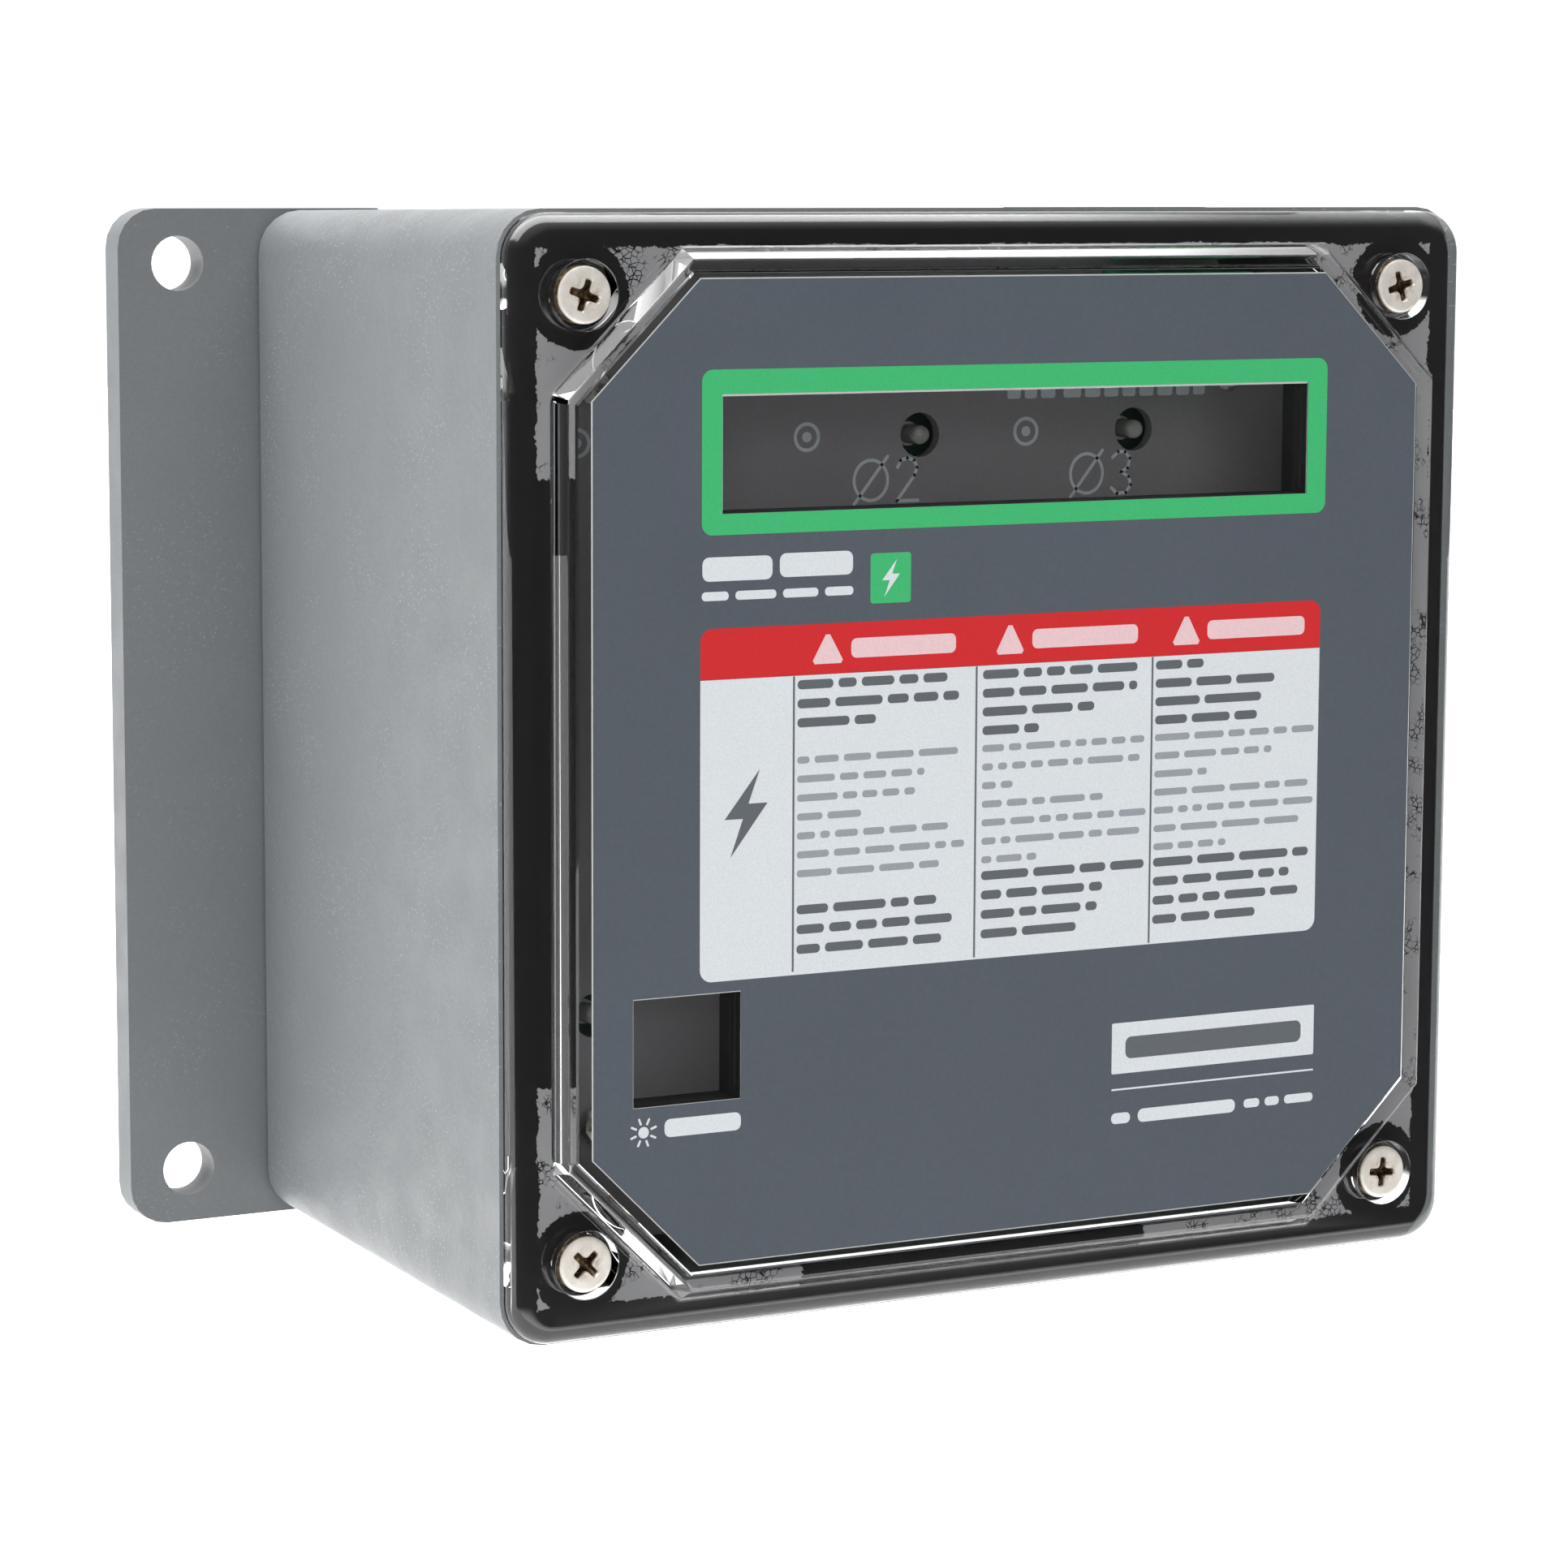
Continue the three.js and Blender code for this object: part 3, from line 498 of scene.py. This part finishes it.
class Shell:
    """A closed surface made of loops on planes of constant y, strips and flat fills."""

    def __init__(self):
        self.bm = bmesh.new()

    def loop(self, outline, y):
        return [self.bm.verts.new((x * MM, y * MM, z * MM)) for x, z in outline]

    def strip(self, a, b):
        for i in range(len(a)):
            j = (i + 1) % len(a)
            self.bm.faces.new((a[i], a[j], b[j], b[i]))

    def loft(self, *layers):
        """Joins outlines (outline, y) in order and returns the first and last loops."""
        loops = [self.loop(outline, y) for outline, y in layers]
        for a, b in zip(loops, loops[1:]):
            self.strip(a, b)
        return loops[0], loops[-1]

    def fill(self, outer, *holes):
        """Closes the loop outer with flat triangles, leaving the holes open."""
        verts, rings = [], []
        for loop in (outer, *holes):
            area = sum(a.co.x * b.co.z - b.co.x * a.co.z for a, b in zip(loop, loop[1:] + loop[:1]))
            ring = list(range(len(verts), len(verts) + len(loop)))
            verts += loop
            rings.append(ring if area > 0 else ring[::-1])
        points = [Vector((v.co.x, v.co.z)) for v in verts]
        _, _, triangles, sources, _, owners = delaunay_2d_cdt(points, [], rings, 1, 1e-7)
        for triangle, owner in zip(triangles, owners):
            if list(owner) == [0]:
                self.bm.faces.new([verts[sources[i][0]] for i in triangle])

    def slab(self, outline, rear, front, holes=()):
        back, face = self.loft((outline, rear), (outline, front))
        ends = [self.loft((hole, rear), (hole, front)) for hole in holes]
        self.fill(back, *[end[0] for end in ends])
        self.fill(face, *[end[1] for end in ends])

    def piece(self, name, material, body, slot, nodes=(), sharp=32.0, origin=None):
        bmesh.ops.recalc_face_normals(self.bm, faces=self.bm.faces)
        mesh = bpy.data.meshes.new(name)
        self.bm.to_mesh(mesh)
        self.bm.free()
        thing = bpy.data.objects.new(name, mesh)
        bpy.context.scene.collection.objects.link(thing)
        if origin is not None:
            mesh.transform(Matrix.Translation(-Vector(origin) * MM))
            thing.location = Vector(origin) * MM
        mesh.materials.append(material)
        mesh.shade_smooth()
        mesh.set_sharp_from_angle(angle=math.radians(sharp))
        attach(thing, body)
        if nodes:
            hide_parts(*nodes)
        return thing


def turned(name, centre, profile, material, body, slot, nodes=(), count=32):
    """A turned piece on a Y axis through centre; profile is [(radius, y)], axis to axis."""
    shell = Shell()
    x, z = centre
    first = shell.bm.verts.new((x * MM, profile[0][1] * MM, z * MM))
    last = shell.bm.verts.new((x * MM, profile[-1][1] * MM, z * MM))
    loops = [shell.loop(circle(x, z, r, count), y) for r, y in profile[1:-1]]
    for a, b in zip(loops, loops[1:]):
        shell.strip(a, b)
    for tip, ring in ((first, loops[0]), (last, loops[-1])):
        for i in range(count):
            shell.bm.faces.new((tip, ring[i], ring[(i + 1) % count]))
    shell.piece(name, material, body, slot, nodes)


SOFT_EDGE = 35.0


def refine(node, name, material, bevel=0.25, segments=2):
    """A finer copy of a CAD node: joined vertices, smooth curves and softened edges."""
    source = frame["nodes"][node]
    bm = bmesh.new()
    bm.from_mesh(source.data)
    bmesh.ops.remove_doubles(bm, verts=bm.verts, dist=1e-6)
    bmesh.ops.dissolve_limit(bm, angle_limit=math.radians(0.5), verts=bm.verts, edges=bm.edges)
    mesh = bpy.data.meshes.new(name)
    bm.to_mesh(mesh)
    bm.free()
    thing = bpy.data.objects.new(name, mesh)
    bpy.context.scene.collection.objects.link(thing)
    mesh.materials.append(material)
    mesh.shade_smooth()
    mesh.set_sharp_from_angle(angle=math.radians(SOFT_EDGE))
    if bevel:
        edge = thing.modifiers.new("edge", "BEVEL")
        edge.width = bevel * MM
        edge.segments = segments
        edge.limit_method = "ANGLE"
        edge.angle_limit = math.radians(SOFT_EDGE)
        edge.harden_normals = True
    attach(thing, source["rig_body"])
    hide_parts(node)


# ---------------------------------------------------------------- cover


def plateau(inset):
    return octagon(75.8 - inset, 76.8 - inset, 93.4 - inset)


def make_cover(material):
    """The clear lid: a skirt with a round front edge, a raised plateau and four screw holes."""
    shell = Shell()
    half, corner, edge_radius, steps = 82.0, 6.6, 3.2, 12
    layers = [(rounded(half - 0.25, half - 0.25, corner - 0.25), COVER_REAR),
              (rounded(half, half, corner), COVER_REAR - 0.25)]
    for i in range(steps + 1):
        angle = i / steps * math.pi / 2
        inset = edge_radius * (1 - math.cos(angle))
        layers.append((rounded(half - inset, half - inset, corner - inset),
                       COVER_FACE + edge_radius * (1 - math.sin(angle))))
    rear, rim = shell.loft(*layers)

    # plateau wall, as (inset, rise): a short root fillet, a steep wall, a soft crest
    wall = [(-0.75, 0.0), (-0.35, 0.08), (-0.08, 0.3), (0.05, 0.6),
            (1.35, 2.55), (1.5, 2.72), (1.75, 2.84), (2.1, 2.9)]
    root, top = shell.loft(*[(plateau(inset), COVER_FACE - rise) for inset, rise in wall])
    shell.fill(top)
    # the hollow behind the plateau, as (inset, y)
    recess = [(2.9, COVER_REAR), (3.25, -104.75), (3.6, -105.1)]
    mouth, ceiling = shell.loft(*[(plateau(inset), y) for inset, y in recess])
    shell.fill(ceiling)

    # counterbore, shank hole and the boss behind it, as (radius, y)
    bore = [(5.2, COVER_FACE), (5.1, COVER_FACE + 0.05), (5.05, COVER_FACE + 0.15), (5.05, -102.5),
            (4.95, -102.4), (2.25, -102.4), (2.25, -100.0), (4.2, -100.0), (4.3, -100.1), (4.3, COVER_REAR)]
    front_holes, rear_holes = [], []
    for sx, sz in CORNERS:
        hole, boss = shell.loft(*[(circle(sx * SCREW, sz * SCREW, radius, ROUND), y) for radius, y in bore])
        front_holes.append(hole)
        rear_holes.append(boss)
    shell.fill(rim, root, *front_holes)
    shell.fill(rear, mouth, *rear_holes)
    cover = shell.piece("cover_clear", material, "cover", "clear_plastic", ["cover"], sharp=24.0)
    even = cover.modifiers.new("flat_faces_stay_flat", "WEIGHTED_NORMAL")
    even.keep_sharp = True


def make_gasket(material):
    """A thin sheet behind the cover's skirt, open inside and round each screw."""
    shell = Shell()
    holes = [plateau(2.2)] + [circle(sx * SCREW, sz * SCREW, 4.7) for sx, sz in CORNERS]
    outline = rounded(GASKET_HALF, GASKET_HALF, GASKET_CORNER)
    shell.slab(outline, GASKET_REAR, GASKET_FRONT, holes)
    shell.piece("gasket_sheet", material, "base", "gasket", ["cover_gasket"])


# ---------------------------------------------------------------- label and prints


def make_label(dark, window_edge_highlight):
    """The dark overlay, and under it a pale sheet whose edges show at the windows, mostly at the top and
    left: a painted highlight standing in for the cut edges catching the light.
    """
    rise, left_highlight = 0.6, 0.12
    windows = [rectangle(*WINDOW_LARGE), rectangle(*WINDOW_SMALL)]
    sheet = Shell()
    sheet.slab(octagon(70.8, 71.9, 88.8, rise), LABEL_REAR - 0.08, LABEL_FACE, windows)
    sheet.piece("label_sheet", dark, "cover", "label", ["cover_label"])
    holes = []
    for (x0, x1, z0, z1), low_highlight, high_highlight in ((WINDOW_LARGE, 0.0, 0.3), (WINDOW_SMALL, 0.06, 0.16)):
        holes.append(rectangle(x0 + left_highlight, x1, z0 + low_highlight, z1 - high_highlight))
    # painted highlight: a pale sheet behind the overlay shows as thin bright lines at the window edges,
    # standing in for the cut edges catching the light
    highlight_sheet = Shell()
    highlight_sheet.slab(octagon(71.0, 72.1, 88.95, rise), LABEL_REAR, LABEL_REAR - 0.07, holes)
    highlight_sheet.piece("label_edge_highlight", window_edge_highlight, "cover", "label")


class Ink:
    """Prints of one colour on one surface, as thin slabs."""

    def __init__(self, rear, front):
        self.rear, self.front = rear, front
        self.shell = Shell()

    def area(self, outline, holes=()):
        self.shell.slab(outline, self.rear, self.front, holes)

    def bar(self, x0, x1, z, height, round_share=0.45):
        radius = min(height, x1 - x0) * round_share
        self.area(rounded((x1 - x0) / 2, height / 2, radius, ((x0 + x1) / 2, z), 4))

    def words(self, x0, x1, z, height, shortest, longest, gap=1.0):
        """A line of bars of uneven lengths, like the words of a line of print."""
        at = x0
        while at < x1 - 0.6:
            end = min(at + RNG.uniform(shortest, longest), x1)
            if x1 - end < gap + 1.2:
                end = x1
            self.bar(at, end, z, height)
            at = end + gap

    def line(self, points, width):
        """A stroke through points: overlapping bars with round ends."""
        steps = 12
        for (ax, az), (bx, bz) in zip(points, points[1:]):
            heading = math.atan2(bz - az, bx - ax)
            outline = []
            for x, z, start in ((bx, bz, heading - math.pi / 2), (ax, az, heading + math.pi / 2)):
                angles = [start + i / steps * math.pi for i in range(steps + 1)]
                outline += [(x + width / 2 * math.cos(a), z + width / 2 * math.sin(a)) for a in angles]
            self.area(outline)

    def ring(self, cx, cz, radius, width, squeeze=1.0):
        def edge(reach):
            return [(cx + (x - cx) * squeeze, z) for x, z in circle(cx, cz, reach)]
        self.area(edge(radius + width / 2), [edge(radius - width / 2)])

    def piece(self, name, material, body, slot):
        self.shell.piece(name, material, body, slot)


def bolt(cx, cz, size):
    """A plain lightning bolt."""
    shape = [(0.35, 1.0), (-0.55, -0.12), (-0.08, -0.12), (-0.4, -1.0), (0.55, 0.22), (0.06, 0.22)]
    return [(cx + x * size, cz + z * size) for x, z in shape]


def triangle(left, right, foot, top):
    """A warning triangle with its corners cut off."""
    middle = (left + right) / 2
    return [(middle + 0.35, top), (middle - 0.35, top), (left, foot + 0.5), (left + 0.3, foot),
            (right - 0.3, foot), (right, foot + 0.5)]


# the printed table: how long each line of print is, column by column, with 0 for an empty line
COLUMNS_LEFT = (-37.8, -6.5, 23.9)
HEAD_LINES = ((25.2, 27.2, 13.1), (27.1, 27.1, 19.5, 9.8), (8.6, 21.6, 19.2, 18.5))
BODY_LINES = ((27.1, 21.4, 19.8, 10.7, 25.5, 28.3, 24.0), (28.5, 27.7, 5.3, 21.2, 28.9, 27.8, 9.6),
              (29.1, 21.3, 9.5, 28.1, 29.1, 26.5, 13.1))
CLOSING_LINES = ((0, 23.6, 26.3, 24.5), (28.7, 21.3, 20.4, 16.7), (28.4, 24.9, 26.6, 18.7))
HEAD_TOP, BODY_TOP, CLOSING_TOP = 13.5, 2.4, -16.8
LINE_PITCH, CLOSING_PITCH = 2.8, 2.95


def print_lines(ink, left, lengths, top, pitch, height, shortest, longest):
    for i, length in enumerate(lengths):
        if length:
            ink.words(left, left + length, top - i * pitch, height, shortest, longest, 0.85)


def make_prints(inks):
    first, second = (LABEL_FACE, LABEL_FACE - INK), (LABEL_FACE - INK, LABEL_FACE - 2 * INK)
    # a band round the large window, and a small square behind the icon
    green = Ink(*first)
    green.area(rounded(53.9, 11.9, 1.7, (0.4, 47.7)), [rectangle(*WINDOW_LARGE)])
    green.area(rounded(3.4, 3.7, 0.5, (-22.35, 28.6)))
    green.piece("print_green", inks["green"], "cover", "label")

    # the heading's band, cut straight along its foot
    red = Ink(*first)
    top = rounded(53.75, 5.0, 1.9, (0.05, 17.3))
    red.area([(x, max(z, 14.9)) for x, z in top])
    red.piece("print_red", inks["red"], "cover", "label")

    # the pale panel below it, cut straight along its top
    panel = Ink(*first)
    low = rounded(53.75, 24.0, 1.9, (0.05, -5.4))
    panel.area([(x, min(z, 14.85)) for x, z in low])
    # a plate, a rule and two lines of print at the lower right
    panel.area(rounded(18.55, 3.95, 0.25, (35.5, -45.2), 3))
    panel.bar(17.0, 54.1, -51.6, 0.28, 0.3)
    panel.bar(17.0, 20.4, -56.1, 1.7)
    panel.bar(21.8, 39.6, -56.0, 2.1)
    panel.words(41.2, 54.1, -55.9, 1.4, 2.4, 4.0)
    # two lines beside the icon, and one word beside a little lamp with rays
    panel.bar(-53.4, -42.0, 30.9, 3.5, 0.3)
    panel.bar(-40.8, -28.7, 31.1, 3.5, 0.3)
    panel.words(-53.5, -28.6, 27.0, 1.3, 4.0, 9.0, 1.1)
    panel.bar(-59.4, -46.9, -50.4, 2.7, 0.35)
    lamp_x, lamp_z = -62.8, -50.7
    panel.area(circle(lamp_x, lamp_z, 0.85, 32))
    for i in range(8):
        angle = math.radians(45 * i + 20)
        ray = [(lamp_x + r * math.cos(angle), lamp_z + r * math.sin(angle)) for r in (1.35, 2.1)]
        panel.line(ray, 0.34)
    panel.piece("print_white", inks["white"], "cover", "label")

    pink = Ink(*second)
    headings = ((-35.3, -30.3, -28.9, -11.2), (-4.2, 0.5, 2.0, 20.6), (26.9, 31.7, 33.1, 50.9))
    for left, right, bar_from, bar_to in headings:
        pink.area(triangle(left, right, 16.4, 20.7))
        pink.bar(bar_from, bar_to, 18.5, 2.9, 0.3)
    pink.piece("print_on_red", inks["pink"], "cover", "label")

    icon = Ink(*second)
    icon.area(bolt(-22.3, 28.6, 2.7))
    icon.piece("print_on_green", inks["white"], "cover", "label")

    bold = Ink(*second)
    for left, head, closing in zip(COLUMNS_LEFT, HEAD_LINES, CLOSING_LINES):
        print_lines(bold, left, head, HEAD_TOP, LINE_PITCH, 1.35, 2.8, 9.0)
        print_lines(bold, left, closing, CLOSING_TOP, CLOSING_PITCH, 1.35, 2.8, 9.0)
    for x, foot in ((-38.4, -28.9), (-7.6, -29.1), (23.3, -29.2)):
        bold.area(rectangle(x - 0.16, x + 0.16, foot, 14.8))
    bold.area(bolt(-46.2, -4.9, 6.4))
    bold.bar(19.4, 51.6, -45.2, 3.4, 0.3)
    bold.piece("print_dark", inks["dark"], "cover", "label")

    plain = Ink(*second)
    for left, body in zip(COLUMNS_LEFT, BODY_LINES):
        print_lines(plain, left, body, BODY_TOP, LINE_PITCH, 1.05, 1.6, 7.0)
    plain.piece("print_grey", inks["grey"], "cover", "label")


def make_plate_marks(material):
    """Phase signs below the lamps, a ring mark beside each, and a row of short bars above."""
    ink = Ink(PLATE_FACE, PLATE_FACE - 0.03)
    sign_z, stroke_width = 40.6, 0.52
    digits = {
        1: [(-0.5, 2.2), (0.6, 3.3), (0.6, -3.3)],
        2: [(-1.7, 1.9), (-1.2, 2.9), (0, 3.3), (1.2, 2.9), (1.7, 1.8), (1.3, 0.6), (-1.8, -3.3),
            (1.9, -3.3)],
        3: [(-1.6, 2.4), (-0.6, 3.3), (0.7, 3.2), (1.6, 2.2), (1.2, 0.7), (0, 0.1), (1.4, -0.7),
            (1.8, -2.0), (0.9, -3.2), (-0.7, -3.3), (-1.8, -2.4)]}
    for number, x in enumerate(LAMPS, 1):
        mark_x, mark_z = x - 19.8, LAMP_Z + 0.1
        ink.ring(mark_x, mark_z, 2.0, 0.55)
        ink.area(circle(mark_x, mark_z, 0.8, 24))
        sign_x = x - 8.6
        ink.ring(sign_x, sign_z, 3.1, stroke_width, 0.95)
        ink.line([(sign_x - 2.9, sign_z - 3.6), (sign_x + 2.9, sign_z + 3.6)], stroke_width)
        ink.line([(sign_x + 6.4 + px, sign_z + pz) for px, pz in digits[number]], stroke_width)
    at, gap = 15.6, 0.75
    for width in (2.4, 2.2, 2.6, 0.0, 3.2, 2.8, 2.6, 2.4, 2.6, 2.8, 2.4, 2.2):
        if width:
            ink.bar(at, at + width, 53.7, 2.2, 0.2)
        at += width + gap
    ink.piece("plate_marks", material, "base", "dead_front")


# ---------------------------------------------------------------- screws, lamps, nipple


def cross_outline(reach, half, fillet, steps=5):
    """A cross recess: four arms with rounded tips and hollow corners between them."""
    outline = []
    tip = min(0.22, half * 0.6)
    for quarter in range(4):
        turn = quarter * math.pi / 2
        points = [(reach, -half + tip), (reach, half - tip), (reach - tip, half)]
        corner = half + fillet
        for i in range(steps + 1):
            angle = i / steps * math.pi / 2
            points.append((corner - fillet * math.sin(angle), corner - fillet * math.cos(angle)))
        points.append((half, reach - tip))
        outline += [(x * math.cos(turn) - z * math.sin(turn), x * math.sin(turn) + z * math.cos(turn))
                    for x, z in points]
    return outline


def make_cover_screws(material):
    top = SCREW_TOP
    # shank and head, as (radius, y), and the recess, as (reach, half width, fillet, depth)
    body = [(1.5, -85.8), (1.95, -86.4), (1.95, -102.5), (4.05, -102.5), (4.15, -102.6), (4.15, top + 0.35),
            (4.11, top + 0.2), (4.02, top + 0.08), (3.85, top + 0.02), (3.5, top)]
    recess = [(2.5, 0.62, 0.7, 0.0), (2.42, 0.56, 0.66, 0.1), (2.2, 0.5, 0.55, 0.7), (1.25, 0.3, 0.25, 1.7)]
    turned_by = (-18, 17, -5, 45)
    for i, ((sx, sz), turn) in enumerate(zip(CORNERS, turned_by), 1):
        x, z = sx * SCREW, sz * SCREW
        cos, sin = math.cos(math.radians(turn)), math.sin(math.radians(turn))
        shell = Shell()
        rear, face = shell.loft(*[(circle(x, z, radius, ROUND), y) for radius, y in body])
        layers = []
        for reach, half, fillet, depth in recess:
            points = cross_outline(reach, half, fillet)
            cross = [(x + u * cos - v * sin, z + u * sin + v * cos) for u, v in points]
            layers.append((cross, top + depth))
        mouth, floor = shell.loft(*layers)
        shell.fill(rear)
        shell.fill(face, mouth)
        shell.fill(floor)
        shell.piece(f"screw_body_{i}", material, f"screw_{i}", "bright_metal", [f"cover_screw_{i}"],
                    origin=(x, top, z))


def make_lamps(lens, metal_grey):
    """Round 3 mm lamps: a frosted dome on a flange, with the cup and the post inside it."""
    tip, radius = PLATE_FACE - 1.4, 1.5
    bends = [i / 8 * math.pi / 2 for i in range(1, 8)]
    dome = [(radius * math.cos(a), tip + radius - radius * math.sin(a)) for a in bends]
    shell = [(0, -69.7), (1.75, -69.7), (1.9, -69.9), (1.9, tip + 5.2), (radius, tip + 5.2),
             (radius, tip + radius), *dome, (0, tip)]
    cup = [(0, tip + 5.0), (0.32, tip + 5.0), (0.32, tip + 2.9), (0.72, tip + 2.0), (0.6, tip + 2.0),
           (0.25, tip + 2.45), (0, tip + 2.45)]
    post = [(0, tip + 5.0), (0.18, tip + 5.0), (0.18, tip + 1.9), (0, tip + 1.85)]
    lamps = {f"phase_lamp_{i}": (x, LAMP_Z) for i, x in enumerate(LAMPS, 1)}
    lamps["replace_lamp"] = REPLACE_LAMP
    for name, (x, z) in lamps.items():
        turned(f"{name}_lens", (x, z), shell, lens, "base", "clear_lamp", [name])
        turned(f"{name}_cup", (x - 0.25, z), cup, metal_grey, "base", "bright_metal", count=20)
        turned(f"{name}_post", (x + 0.75, z), post, metal_grey, "base", "bright_metal", count=12)


def make_nipple(material):
    """Threaded nipple with a hexagon flange, on the right side wall."""
    shell = Shell()
    axis_y, around, pitch, depth, outer, bore = -52.0, 64, 1.8, 0.75, 13.2, 10.4
    inner_end, outer_end = 72.0, 103.0
    flange_from, flange_to, half_flats, half_corners = 83.88, 89.88, 15.59, 17.7
    angles = [2 * math.pi * i / around for i in range(around)]

    def ring(x, radius_at):
        return [shell.bm.verts.new((x * MM, (axis_y + radius_at(a) * math.cos(a)) * MM,
                                    radius_at(a) * math.sin(a) * MM)) for a in angles]

    def plain(radius):
        return lambda a: radius

    def hexagon(shrink=0.0):
        def radius(a):
            local = (a + math.pi / 6) % (math.pi / 3) - math.pi / 6
            flat = (half_flats - shrink) / math.cos(local)
            return flat if shrink else min(flat, half_corners)
        return radius

    def threads(start, end):
        """Rings of a helical thread, six to a turn."""
        rings, x = [], start
        while x < end:
            def radius(a):
                phase = (x / pitch - a / (2 * math.pi)) % 1.0
                return outer - depth * min(1.0, abs(2 * phase - 1) * 1.15)
            rings.append(ring(x, radius))
            x += pitch / 6
        return rings

    rings = [ring(inner_end, plain(bore)), ring(inner_end, plain(outer - 1.3)),
             *threads(inner_end + 0.5, flange_from - 0.3),
             ring(flange_from, plain(outer - 0.6)), ring(flange_from, hexagon(0.4)),
             ring(flange_from + 0.4, hexagon()), ring(flange_to - 0.4, hexagon()),
             ring(flange_to, hexagon(0.5)), ring(flange_to, plain(outer - 0.6)),
             *threads(flange_to + 0.6, outer_end - 0.7),
             ring(outer_end, plain(outer - 1.2)), ring(outer_end, plain(bore + 0.3)),
             ring(outer_end - 0.4, plain(bore))]
    for a, b in zip(rings, rings[1:] + rings[:1]):
        shell.strip(a, b)
    shell.piece("nipple_threaded", material, "base", "bright_metal", ["lead_nipple"], sharp=40.0)


# ---------------------------------------------------------------- the whole thing


def main():
    bpy.context.scene.view_settings.view_transform = "Standard"
    make_camera()
    make_world()
    make_floor()
    area_light("key_left", (-1.30, -0.45, 0.10), (1.0, 1.4), 1.5)
    area_light("front_soft", (-0.35, -1.45, 0.35), (1.2, 1.2), 8.5)

    wall = moulded("grey_moulding", (0.200, 0.212, 0.220), 0.48, 0.6, 620.0, specks=0.6, mottle=0.025)
    foot = moulded("foot_moulding", (0.185, 0.196, 0.204), 0.5, 0.15, 800.0, specks=0.25, mottle=0.02)
    plastic = clear("clear_cover", (0.985, 0.99, 0.99))
    label = moulded("label_slate", srgb(86, 92, 100), 0.5, 0.06, 3000.0, mottle=0.02, specular=0.25)
    black = moulded("black_satin", (0.012, 0.012, 0.0125), 0.5, 0.05, mottle=0.05)
    dark_plate = moulded("dead_front", (0.33, 0.32, 0.335), 0.6, 0.08, 1500.0, mottle=0.05, specular=0.25)
    nickel = metal("nickel", (0.66, 0.62, 0.57), 0.32)
    brass = metal("brass", (0.60, 0.42, 0.17), 0.32)
    zinc = metal("zinc_plate", (0.60, 0.60, 0.58), 0.34)
    nylon = moulded("nylon", (0.66, 0.64, 0.57), 0.5, 0.1, mottle=0.04)
    blue = moulded("varistor_blue", (0.03, 0.08, 0.16), 0.45, 0.1, mottle=0.06)
    green_block = moulded("terminal_green", (0.08, 0.60, 0.28), 0.4, 0.08, mottle=0.04)
    ribbon = moulded("ribbon_grey", (0.26, 0.28, 0.30), 0.55, 0.1, mottle=0.05)
    rubber = moulded("seal_rubber", (0.014, 0.014, 0.015), 0.6, 0.15, mottle=0.08)
    board = board_material("board_green", (0.008, 0.035, 0.02))
    lens = frosted("lamp_lens", (0.85, 0.86, 0.82))
    inks = {
        "green": printed("ink_green", srgb(68, 188, 118)),
        "red": printed("ink_red", srgb(212, 44, 48)),
        "white": printed("ink_white", srgb(228, 233, 237)),
        "pink": printed("ink_pink", srgb(244, 208, 212)),
        "dark": printed("ink_dark", srgb(98, 103, 108)),
        "grey": printed("ink_grey", srgb(158, 164, 170)),
    }
    marks = printed("plate_mark", srgb(226, 232, 238))
    # painted highlight: the pale colour of the lit window edges
    window_edge_highlight = printed("label_edge_highlight", srgb(222, 224, 222))

    refine("enclosure_base", "base_shell", wall, 0.5, 3)
    for side in ("left", "right"):
        refine(f"mounting_foot_{side}", f"foot_{side}", foot, 0.35, 3)
    make_cover(plastic)
    make_gasket(gasket_material())
    make_label(label, window_edge_highlight)
    make_prints(inks)
    make_plate_marks(marks)
    make_cover_screws(screw_metal())
    make_lamps(lens, zinc)
    make_nipple(zinc)

    refine("dead_front_plate", "front_plate", dark_plate, 0.2)
    for size in ("large", "small"):
        refine(f"window_shroud_{size}", f"shroud_{size}", black, 0.15)
    refine("contact_header", "contact_socket", green_block, 0.2)
    refine("contact_plug", "contact_block", green_block, 0.25)
    refine("main_board", "power_board", board, 0)
    refine("indicator_board", "lamp_board", board, 0)
    refine("alarm_relay", "relay_case", black, 0.4, 3)
    refine("ribbon_link", "ribbon", ribbon, 0.2)
    refine("nipple_seal", "seal_ring", rubber, 0.3, 3)
    refine("nipple_locknut", "locknut", zinc, 0.4, 3)
    for i in range(1, 5):
        refine(f"foot_screw_{i}", f"foot_fixing_{i}", nickel, 0.1)
        refine(f"plate_screw_{i}", f"plate_fixing_{i}", nickel, 0.15)
        refine(f"plate_pillar_{i}", f"pillar_{i}", nylon, 0.2)
        refine(f"retaining_washer_{i}", f"washer_ring_{i}", nylon, 0.1)
        refine(f"thread_insert_{i}", f"insert_{i}", brass, 0.15)
        refine(f"varistor_block_{i}", f"varistor_{i}", blue, 0.8, 3)
    for i in range(1, 4):
        refine(f"thermal_fuse_{i}", f"fuse_{i}", nylon, 0.5, 3)
    for i in range(1, 6):
        refine(f"lead_tab_{i}", f"tab_{i}", brass, 0.15)


main()
